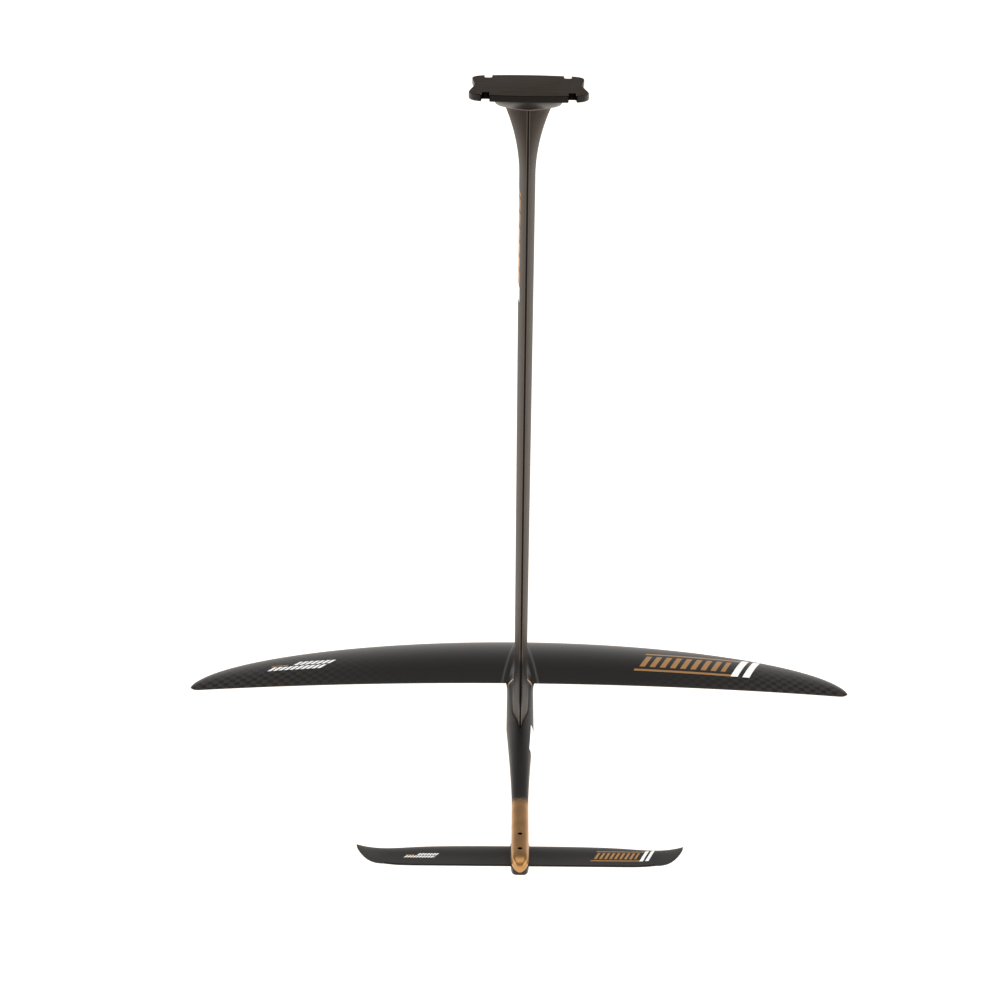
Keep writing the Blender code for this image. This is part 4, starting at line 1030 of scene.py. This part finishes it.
def slot_cutter(side, end):
    """An open slot: a half circle and two straight sides, wider at the plate's faces by a small chamfer."""
    turn = np.linspace(math.pi, 2.0 * math.pi, 25)
    grow = np.array([1.5, 0.9, 0.0, 0.0, 0.9, 1.5]) * MM
    half = (SLOT_HALF_WIDTH + grow)[:, None]
    x = np.concatenate([half * np.cos(turn), half, -half], axis=1)
    far = np.full_like(half, PLATE_HALF_LENGTH)
    y = np.concatenate([SLOT_PLACE[1] + half * np.sin(turn), far, far], axis=1)
    outline = np.stack([(x + SLOT_PLACE[0]) * side, y * end], axis=2)
    heights = np.array([1.1, 0.5, -0.4, 0.4, -0.5, -1.1]) * MM - np.array([0, 0, 0, 1, 1, 1]) * PLATE_EDGE
    return surface("slot", ring_stack(outline, heights))


plate_mesh = carve(plate_mesh, surface("boss", boss_grid()), operation="UNION")
pocket = surface("pocket", ring_stack(tenon_sections(GAP), [BOSS_LOW - PAST, TENON_TOP + GAP]))
plate_cuts = [slot_cutter(side, end) for side in (-1, 1) for end in (-1, 1)]
plate_mesh = carve(plate_mesh, pocket, *plate_cuts)
piece("plate_moulding", plate_mesh, PLATE_BLACK, ["mast_plate"], 25.0)

# %% [markdown]
# ## The fuselage
#
# The fuselage is a round tube that flattens towards its tail into a small rounded box, and rounds off at
# its end. Each section is a superellipse: power 2 is an ellipse, and a higher power has fuller corners. A
# spigot carries on from its front face into the front wing. The pocket for the mast's foot, the screws'
# seats and the tail's two small holes are cut out of it.

# %% Fuselage
BODY_REAR_Y = -40.0 * MM
TAPER_LENGTH = 185.0 * MM
TAIL_HALF_WIDTH = 9.2 * MM
TAIL_TOP = TAIL_BOTTOM + 14.0 * MM
TAIL_ROUND = 20.0 * MM
TAIL_END_POWER = 3.0
TAIL_CUT = 0.985
TAIL_BLUNT = 0.25
TAPER_POWER = 1.3
FRONT_ROUND = 0.8 * MM
POCKET_FLOOR = FOOT_BOTTOM - GAP
POCKET_CLEARANCE = 0.8 * MM
SPIGOT_HALF = (9.0 * MM, 7.0 * MM)
SPIGOT_NARROWING = 2.0 * MM


def fuselage_grid(y, count=128):
    """Sections along y: the width and height shrink by 1 - (1 - t)^1.3 down the taper, the power grows from
    2 to 3, and the last stretch closes as sqrt(1 - e^3), which is squarer than a circle."""
    y = np.asarray(y, float)[:, None]
    along = np.clip((BODY_REAR_Y - y) / TAPER_LENGTH, 0.0, 1.0)
    taper = 1.0 - (1.0 - along) ** TAPER_POWER
    end = np.clip((TAIL_END_Y + TAIL_ROUND - y) / TAIL_ROUND, 0.0, TAIL_CUT)
    closing = np.sqrt(1.0 - end ** TAIL_END_POWER)
    front = np.clip(1.0 - (SHOULDER_Y - y) / FRONT_ROUND, 0.0, 1.0)
    shrink = FRONT_ROUND * (1.0 - np.sqrt(1.0 - front ** 2))
    half_width = (FUSE_RADIUS + taper * (TAIL_HALF_WIDTH - FUSE_RADIUS)) * closing - shrink
    high = FUSE_TOP + taper * (TAIL_TOP - FUSE_TOP) - shrink
    low = FUSE_BOTTOM + taper * (TAIL_BOTTOM - FUSE_BOTTOM) + shrink
    high = low + (high - low) * (TAIL_BLUNT + (1.0 - TAIL_BLUNT) * closing)
    power = 2.0 / (2.0 + taper)
    angle = np.arange(count)[None, :] * 2.0 * math.pi / count
    x = half_width * np.sign(np.cos(angle)) * np.abs(np.cos(angle)) ** power
    z = (high - low) / 2 * np.sign(np.sin(angle)) * np.abs(np.sin(angle)) ** power + (high + low) / 2
    return np.stack([x, np.broadcast_to(y, x.shape), z], axis=2)


def spigot_grid(y, grow):
    """The spigot's sections, or with grow the socket around it: a squarish bar that tapers forwards."""
    rows = []
    for place in y:
        share = (place - SHOULDER_Y) / (SPIGOT_END_Y - SHOULDER_Y)
        half_width, half_height = (half - share * SPIGOT_NARROWING + grow for half in SPIGOT_HALF)
        ring = superellipse(half_width, half_height, 4.0, 4.0, 64)
        rows.append(np.column_stack([ring[:, 0], np.full(len(ring), place), ring[:, 1] + FUSE_AXIS]))
    return np.stack(rows)


tail_share = 1.0 - np.sqrt(1.0 - np.linspace(0.0, 1.0, 30) ** 2)
tail_y = TAIL_END_Y + TAIL_ROUND * np.maximum(tail_share, 1.0 - TAIL_CUT)
tail_y = np.unique(np.round(tail_y, 7))
taper_y = np.linspace(TAIL_END_Y + TAIL_ROUND, BODY_REAR_Y, 60)[1:]
body_y = np.linspace(BODY_REAR_Y, SHOULDER_Y - FRONT_ROUND, 20)[1:]
front_y = SHOULDER_Y - FRONT_ROUND * np.linspace(1.0, 0.0, 6)[1:] ** 2
fuselage_mesh = surface("fuselage_tube", fuselage_grid(np.concatenate([tail_y, taper_y, body_y, front_y])))
spigot = surface("spigot", spigot_grid((SHOULDER_Y - 12.0 * MM, SPIGOT_END_Y), 0.0))
fuselage_mesh = carve(fuselage_mesh, spigot, operation="UNION")
print("the fuselage has", len(tail_y), "sections round its end and", len(taper_y), "down its taper")

# %% [markdown]
# The pocket follows the foot's own section, a hair larger all round, which leaves the thin dark seam that
# shows where the mast enters. Each screw's seat comes from the box of its washer, insert or screw.

# %% Cut the fuselage
foot_outline = mast_sections([FUSE_TOP])[0]
foot_middle = np.array([0.0, (MAST_REAR[1] + MAST_FRONT[1]) / 2])
foot_reach = (MAST_FRONT[1] - MAST_REAR[1]) / 2
foot_scale = np.array([1.0 + POCKET_CLEARANCE / FOOT_HALF_WIDTH, 1.0 + 3.0 * POCKET_CLEARANCE / foot_reach])
pocket_outline = (foot_outline - foot_middle) * foot_scale + foot_middle
pocket = ring_stack(np.stack([pocket_outline] * 2), [POCKET_FLOOR, FUSE_TOP + PAST])
fuselage_cuts = [surface("pocket", pocket)]
for place in ("front", "rear"):
    y = middle_of("mast_washer_" + place)
    wide = span_of("mast_washer_" + place, 0)[1] + RUNNING
    seat = span_of("mast_washer_" + place, 2)[1] + GAP
    narrow = SCREWS["mast_screw"][0] + 2 * RUNNING
    steps = [(wide, FUSE_BOTTOM - PAST), (wide, seat), (narrow, seat), (narrow, FOOT_BOTTOM + 1.0 * MM)]
    fuselage_cuts.append(surface("seat", turned(steps, (0.0, y, 0.0))))
    name = "rear_wing_insert_" + place
    y = middle_of(name)
    wide, shelf = span_of(name, 0)[1] + GAP, span_of(name, 2)[1] + GAP
    steps = [(wide, TAIL_BOTTOM - PAST), (wide, shelf), (TAIL_HOLE_RADIUS, shelf),
             (TAIL_HOLE_RADIUS, FUSE_TOP)]
    fuselage_cuts.append(surface("tail_hole", turned(steps, (0.0, y, 0.0))))
for number in (1, 2, 3):
    name = "front_wing_insert_%d" % number
    radius = span_of(name, 0)[1] + GAP
    fuselage_cuts.append(bore(radius, middle_of(name), FUSE_BOTTOM, span_of(name, 2)[1] + GAP))
fuselage_mesh = carve(fuselage_mesh, *fuselage_cuts)
piece("fuselage_tube", fuselage_mesh, FUSELAGE_SPRAY, ["fuselage"])

# %% [markdown]
# ## The front wing
#
# The front wing is a cambered section swept out along an ellipse, with a round hub grown out of its middle.
# Its surface is a height over the plan, so the hub and the wing can be joined by a smooth maximum: the
# larger of the two heights, with a fillet where they are close. The rows of the grid follow the hub's sides
# near the middle and then spread out to the tips.

# %% Front wing
WING_CHORD = 127.0 * MM
WING_TE_Y = 88.0 * MM
WING_TE_SWEEP = 12.8 * MM
WING_RAISE = 3.5 * MM
WING_ANHEDRAL = 20.4 * MM
WING_THICKNESS = 0.125
WING_CAMBER = 0.025
WING_EDGE = 1.2 * MM
WING_EDGE_ROUND = 0.5 * MM
TIP_CLOSING = 0.9992
TIP_POWER = 0.45
TIP_ROUND = 8.0 * MM
ROUND_FROM = 0.965
HUB_END_Y = 206.0 * MM
HUB_FRONT = (7.0 * MM, 4.0 * MM)
HUB_POWERS = (0.8, 1.6)
HUB_SIDE_SLOPE = 3.0
HUB_FILLET = 7.0 * MM
HUB_SPREAD = 26.0 * MM
HUB_CORNER = 3.0 * MM
SECTION_POWER = 0.95
SECTION_PEAK = 0.391
SUNK_FROM = 0.72


def smooth_max(first, second, reach):
    """The larger of two heights, plus a quarter of the reach times the square of how close they are."""
    near = np.maximum(0.0, 1.0 - np.abs(first - second) / reach)
    return np.maximum(first, second) + near * near * reach / 4


def hub_size(y, front, power):
    """Half the hub's width or height: the full radius at the joint, shrinking to its front as a power."""
    share = np.clip((y - HUB_Y) / (HUB_END_Y - HUB_Y), 0.0, 1.0)
    return FUSE_RADIUS + (front - FUSE_RADIUS) * share ** power


def section_half(share, thickness):
    """Half a wing section's thickness: t / 2 * s^0.95 * sqrt(1 - s), scaled to its peak."""
    return thickness / 2 * share ** SECTION_POWER * np.sqrt(1.0 - share) / SECTION_PEAK


def wing_edges(span):
    """Trailing edge TE + sweep s^2, leading edge a chord (1 - s^2)^0.45 ahead, both rounded at the tip."""
    trailing = WING_TE_Y + WING_TE_SWEEP * span ** 2
    leading = trailing + WING_CHORD * (1.0 - TIP_CLOSING * span ** 2) ** TIP_POWER
    past = np.maximum((span - ROUND_FROM) / (1.0 - ROUND_FROM), 0.0)
    rounding = TIP_ROUND * past ** 3
    return trailing + rounding, leading + rounding / 2


def front_wing_heights(x, y):
    """Upper and lower heights over the plan: a camber line plus and minus a section, and the hub."""
    span = np.minimum(np.abs(x) / WING_HALF_SPAN, 1.0)
    trailing, leading = wing_edges(span)
    chord = leading - trailing
    share = np.clip((y - trailing) / chord, 0.0, 1.0)
    middle = FUSE_AXIS + WING_RAISE - WING_ANHEDRAL * span ** 2
    middle = middle + WING_CAMBER * chord * 4.0 * share * (1.0 - share)
    half = section_half(share, WING_THICKNESS * chord) + WING_EDGE / 2 * (1.0 - share)
    near = np.clip(1.0 - (y - trailing) / WING_EDGE_ROUND, 0.0, 1.0)
    half = half - WING_EDGE_ROUND * (1.0 - np.sqrt(1.0 - near ** 2))
    width = hub_size(y, HUB_FRONT[0], HUB_POWERS[0])
    inside = np.clip(np.abs(x) / width, 0.0, 1.0)
    hub = hub_size(y, HUB_FRONT[1], HUB_POWERS[1]) * np.sqrt(1.0 - inside ** 2)
    hub = hub - HUB_SIDE_SLOPE * np.maximum(np.abs(x) - width, 0.0)
    ahead = smooth_step((share - SUNK_FROM) / (1.0 - SUNK_FROM))
    fade = HUB_FILLET * (1.0 - ahead) + 0.01 * MM
    sunk = 2.0 * HUB_FILLET * ahead
    upper = smooth_max(middle + half, FUSE_AXIS + hub - sunk, fade)
    lower = -smooth_max(half - middle, hub - sunk - FUSE_AXIS, fade)
    return upper, lower


def front_wing_grid(chord_points=56):
    """Rows from tip to tip; each is one loop over the top and back underneath."""
    edge = FUSE_RADIUS + HUB_SPREAD
    hub = np.linspace(0.0, 1.0, 26)
    fillet = 1.0 + np.linspace(0.0, 1.0, 30)[1:] ** 1.5
    outer = 2.0 + np.linspace(0.0, 1.0, 110)[1:]
    half = np.concatenate([hub, fillet, outer])
    station = np.concatenate([-half[:0:-1], half])[:, None]
    far = np.abs(station)
    inner = FUSE_RADIUS * np.minimum(far, 1.0) + HUB_SPREAD * np.maximum(far - 1.0, 0.0)
    out = edge + (WING_HALF_SPAN - edge) * np.sin(np.clip(far - 2.0, 0.0, 1.0) * math.pi / 2)
    nominal = np.where(far <= 2.0, inner, out)
    span = nominal / WING_HALF_SPAN
    trailing, leading = wing_edges(span)
    behind = 1.0 - smooth_step((nominal - FUSE_RADIUS) / HUB_CORNER)
    trailing = trailing + (HUB_Y - trailing) * behind
    share = (1.0 - np.cos(np.linspace(0.0, math.pi, chord_points)))[None, :] / 2
    y = trailing + share * (leading - trailing)
    width = hub_size(y, HUB_FRONT[0], HUB_POWERS[0])
    near = np.clip(far, 0.0, 1.0)
    x = np.where(far <= 1.0, width * near, width + (edge - width) * (far - 1.0))
    x = np.where(far <= 2.0, x, nominal)
    upper, lower = front_wing_heights(x, y)
    x = x * np.where(station < 0, -1.0, 1.0)
    over = np.stack([x, y, upper], axis=2)
    under = np.stack([x, y, lower], axis=2)
    return np.concatenate([over, under[:, -2::-1]], axis=1)


wing_mesh = surface("front_wing_skin", front_wing_grid())
wing_cuts = [surface("socket", spigot_grid((HUB_Y - 3.0 * MM, SPIGOT_END_Y + GAP), GAP))]
for number in (1, 2, 3):
    wing_cuts.append(screw_bore("front_wing_screw_%d" % number, FUSE_BOTTOM - PAST, FUSE_AXIS))
wing_mesh = carve(wing_mesh, *wing_cuts)
piece("front_wing_skin", wing_mesh, FRONT_SKIN, ["front_wing"], 40.0)

# %% [markdown]
# ## The rear wing
#
# The rear wing steadies the foil. It is thin, nearly straight, and its tips sweep back and curl up. A pad
# under the tail carries it: a rounded box, drawn in at its lower and upper edges as a quarter circle.

# %% Rear wing
REAR_LE_Y = -304.8 * MM
REAR_CHORD = 41.2 * MM
REAR_SWEEP = 4.0 * MM
REAR_TIP_SWEEP = 20.4 * MM
REAR_TIP_SWEEP_POWER = 5.6
REAR_TIP_RAKE = 8.0 * MM
REAR_RAKE_FROM = 0.81
REAR_RAKE_OVER = 0.15
REAR_CLOSING_FROM = 0.843
REAR_CLOSING_POWER = 1.7
REAR_THICKNESS = 0.10
REAR_EDGE = 0.9 * MM
REAR_TIP_RISE = 14.6 * MM
REAR_RISE_FROM = 0.6
REAR_RISE_POWER = 3.6
REAR_RAISE = 0.5 * MM
PAD_HEIGHT = 7.0 * MM
PAD_BOTTOM = PAD_TOP - PAD_HEIGHT
PAD_HALF_WIDTH = 10.5 * MM
PAD_Y = (-297.0 * MM, -358.5 * MM)
PAD_CORNER = 5.0
PAD_NARROWING = 0.06
PAD_LOW_ROUND = 1.5 * MM
PAD_TOP_ROUND = 0.5 * MM


def rear_wing_grid(chord_points=44):
    """Rows from tip to tip: the leading edge falls back as s^2 and s^5.6, the chord closes as a root near
    the tip, and the tip rises as a power."""
    near = np.linspace(0.0, REAR_RISE_FROM, 36)
    tip = REAR_RISE_FROM + (1.0 - REAR_RISE_FROM) * np.sin(np.linspace(0.0, 1.0, 72)[1:] * math.pi / 2)
    half = np.concatenate([near, tip])
    span = np.concatenate([-half[:0:-1], half])[:, None]
    out = np.abs(span)
    leading = REAR_LE_Y - REAR_SWEEP * out ** 2 - REAR_TIP_SWEEP * out ** REAR_TIP_SWEEP_POWER
    rake = REAR_TIP_RAKE * smooth_step((out - REAR_RAKE_FROM) / REAR_RAKE_OVER)
    trailing = REAR_LE_Y - REAR_CHORD - rake
    near_tip = np.clip((out - REAR_CLOSING_FROM) / (1.0 - REAR_CLOSING_FROM), 0.0, 0.999)
    closing = np.sqrt(1.0 - near_tip ** REAR_CLOSING_POWER)
    chord = (leading - trailing) * closing
    share = (1.0 - np.cos(np.linspace(0.0, math.pi, chord_points)))[None, :] / 2
    half_thick = section_half(share, REAR_THICKNESS * chord) + REAR_EDGE / 2 * (1.0 - share)
    risen = np.maximum((out - REAR_RISE_FROM) / (1.0 - REAR_RISE_FROM), 0.0)
    rise = REAR_TIP_RISE * risen ** REAR_RISE_POWER
    middle = (PAD_TOP + PAD_BOTTOM) / 2 + REAR_RAISE + rise
    y = leading - chord * (1.0 - share)
    x = np.broadcast_to(span * REAR_HALF_SPAN, y.shape)
    over = np.stack([x, y, middle + half_thick], axis=2)
    under = np.stack([x, y, middle - half_thick], axis=2)
    return np.concatenate([over, under[:, -2::-1]], axis=1)


def pad_outline(insets, count=128):
    """The pad from above: a rounded box a little narrower behind, once for each inset."""
    half_length = (PAD_Y[0] - PAD_Y[1]) / 2
    rows = []
    for inset in insets:
        ring = superellipse(PAD_HALF_WIDTH - inset, half_length - inset, PAD_CORNER, PAD_CORNER, count)
        ring[:, 0] *= 1.0 - PAD_NARROWING * (1.0 - ring[:, 1] / half_length)
        rows.append(ring + [0.0, (PAD_Y[0] + PAD_Y[1]) / 2])
    return np.stack(rows)


def pad_grid():
    """The pad: a straight wall, rounded below and a little less above."""
    below, up = quarter_round(PAD_LOW_ROUND, 8)
    above, down = quarter_round(PAD_TOP_ROUND, 8)
    insets = np.concatenate([below, above[::-1]])
    heights = np.concatenate([PAD_BOTTOM + up, PAD_TOP - down[::-1]])
    return ring_stack(pad_outline(insets), heights)


rear_mesh = surface("rear_wing_skin", rear_wing_grid())
rear_mesh = carve(rear_mesh, surface("pad", pad_grid()), operation="UNION")
rear_cuts = [screw_bore("rear_wing_screw_" + place, PAD_BOTTOM - PAST, PAD_TOP + PAST)
             for place in ("front", "rear")]
rear_mesh = carve(rear_mesh, *rear_cuts)
piece("rear_wing_skin", rear_mesh, REAR_SKIN, ["rear_wing"], 40.0)

# %% [markdown]
# ## Rings and shim
#
# Where the wing meets the fuselage there is a gold trim ring and a rubber seal, both turned shapes: a small
# profile carried round the fuselage's axis. Their corners are rounded, because a rounded corner is what
# draws the bright line on a thin ring. A thin plastic shim sits between the tail and the rear wing.

# %% Rings and shim
RING_BORE = 12.6 * MM
SHIM_INSET = 2.0 * MM
SHIM_CHAMFER = 0.2 * MM


def collar(name, node, finish, corner):
    """A turned ring in the place of a packed one: its outer radius from its box, a bore, rounded corners."""
    rear, front = span_of(node, 1)
    outer = span_of(node, 0)[1]
    profile = rounded([(RING_BORE, rear), (outer, rear), (outer, front), (RING_BORE, front)], corner)
    profile = np.concatenate([profile, profile[:1]])
    grid = turned(profile, (0.0, 0.0, FUSE_AXIS), "Y", 128)
    rows, columns = grid.shape[:2]
    index = np.arange((rows - 1) * columns).reshape(rows - 1, columns)
    around = np.concatenate([index, index[:1]])
    beside = np.roll(around, -1, axis=1)
    quads = np.stack([around[:-1], beside[:-1], beside[1:], around[1:]], axis=-1).reshape(-1, 4)
    points = grid[:-1].reshape(-1, 3)
    faces = quads.tolist()
    if enclosed(points, faces) < 0.0:
        faces = [face[::-1] for face in faces]
    mesh = bpy.data.meshes.new(name)
    mesh.from_pydata(points.tolist(), [], faces)
    return piece(name, mesh, finish, [node], 50.0)


collar("trim_ring", "wing_trim_ring", RING_GOLD, 0.5 * MM)
collar("rubber_seal", "joint_seal", SEAL_RUBBER, 0.9 * MM)

shim_insets = SHIM_INSET + SHIM_CHAMFER * np.array([1.0, 0.0, 0.0, 1.0])
shim_heights = [SHIM_LOW, SHIM_LOW + SHIM_CHAMFER, SHIM_TOP - SHIM_CHAMFER, SHIM_TOP]
shim_mesh = surface("tail_shim", ring_stack(pad_outline(shim_insets), shim_heights))
shim_bore = SCREWS["rear_wing_screw"][0] + RUNNING
shim_cuts = [bore(shim_bore, middle_of("rear_wing_screw_" + place), PAD_BOTTOM, TAIL_TOP)
             for place in ("front", "rear")]
piece("tail_shim", carve(shim_mesh, *shim_cuts), SHIM, ["rear_wing_shim"])

# %% [markdown]
# ## Screws
#
# Socket-head screws hold the foil together, and only their heads show, deep in the bores underneath. Each
# is a turned profile with rounded edges and a hexagon sunk in its head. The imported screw's box says where
# its head and its tip are.

# %% Screws
HEAD_ROUND = 0.35 * MM
HEX_SHARE = 0.5
HEX_DEPTH_SHARE = 0.6


def socket_screw(node, radius, head_radius, head_height):
    """A screw standing on its head: shank, a chamfered tip, a rounded head and a hexagonal socket."""
    low, tip = span_of(node, 2)
    top = low + head_height
    profile = [(head_radius * 0.55, low), (head_radius, low), (head_radius, top), (radius, top),
               (radius, tip - radius * 0.3), (radius * 0.8, tip)]
    profile = rounded(profile, HEAD_ROUND, 4)
    place = (0.0, middle_of(node), 0.0)
    mesh = surface(node, turned(profile, place))
    angle = np.arange(6) * math.pi / 3
    corner = head_radius * HEX_SHARE
    hexagon = np.column_stack([corner * np.cos(angle), corner * np.sin(angle) + place[1]])
    sink = ring_stack(np.stack([hexagon] * 2), [low - 1.0 * MM, low + head_height * HEX_DEPTH_SHARE])
    mesh = carve(mesh, surface("hexagon", sink))
    piece("fine_" + node, mesh, STEEL, [node])


for name in sorted(nodes):
    if "_screw_" in name:
        socket_screw(name, *sizes_of(name))
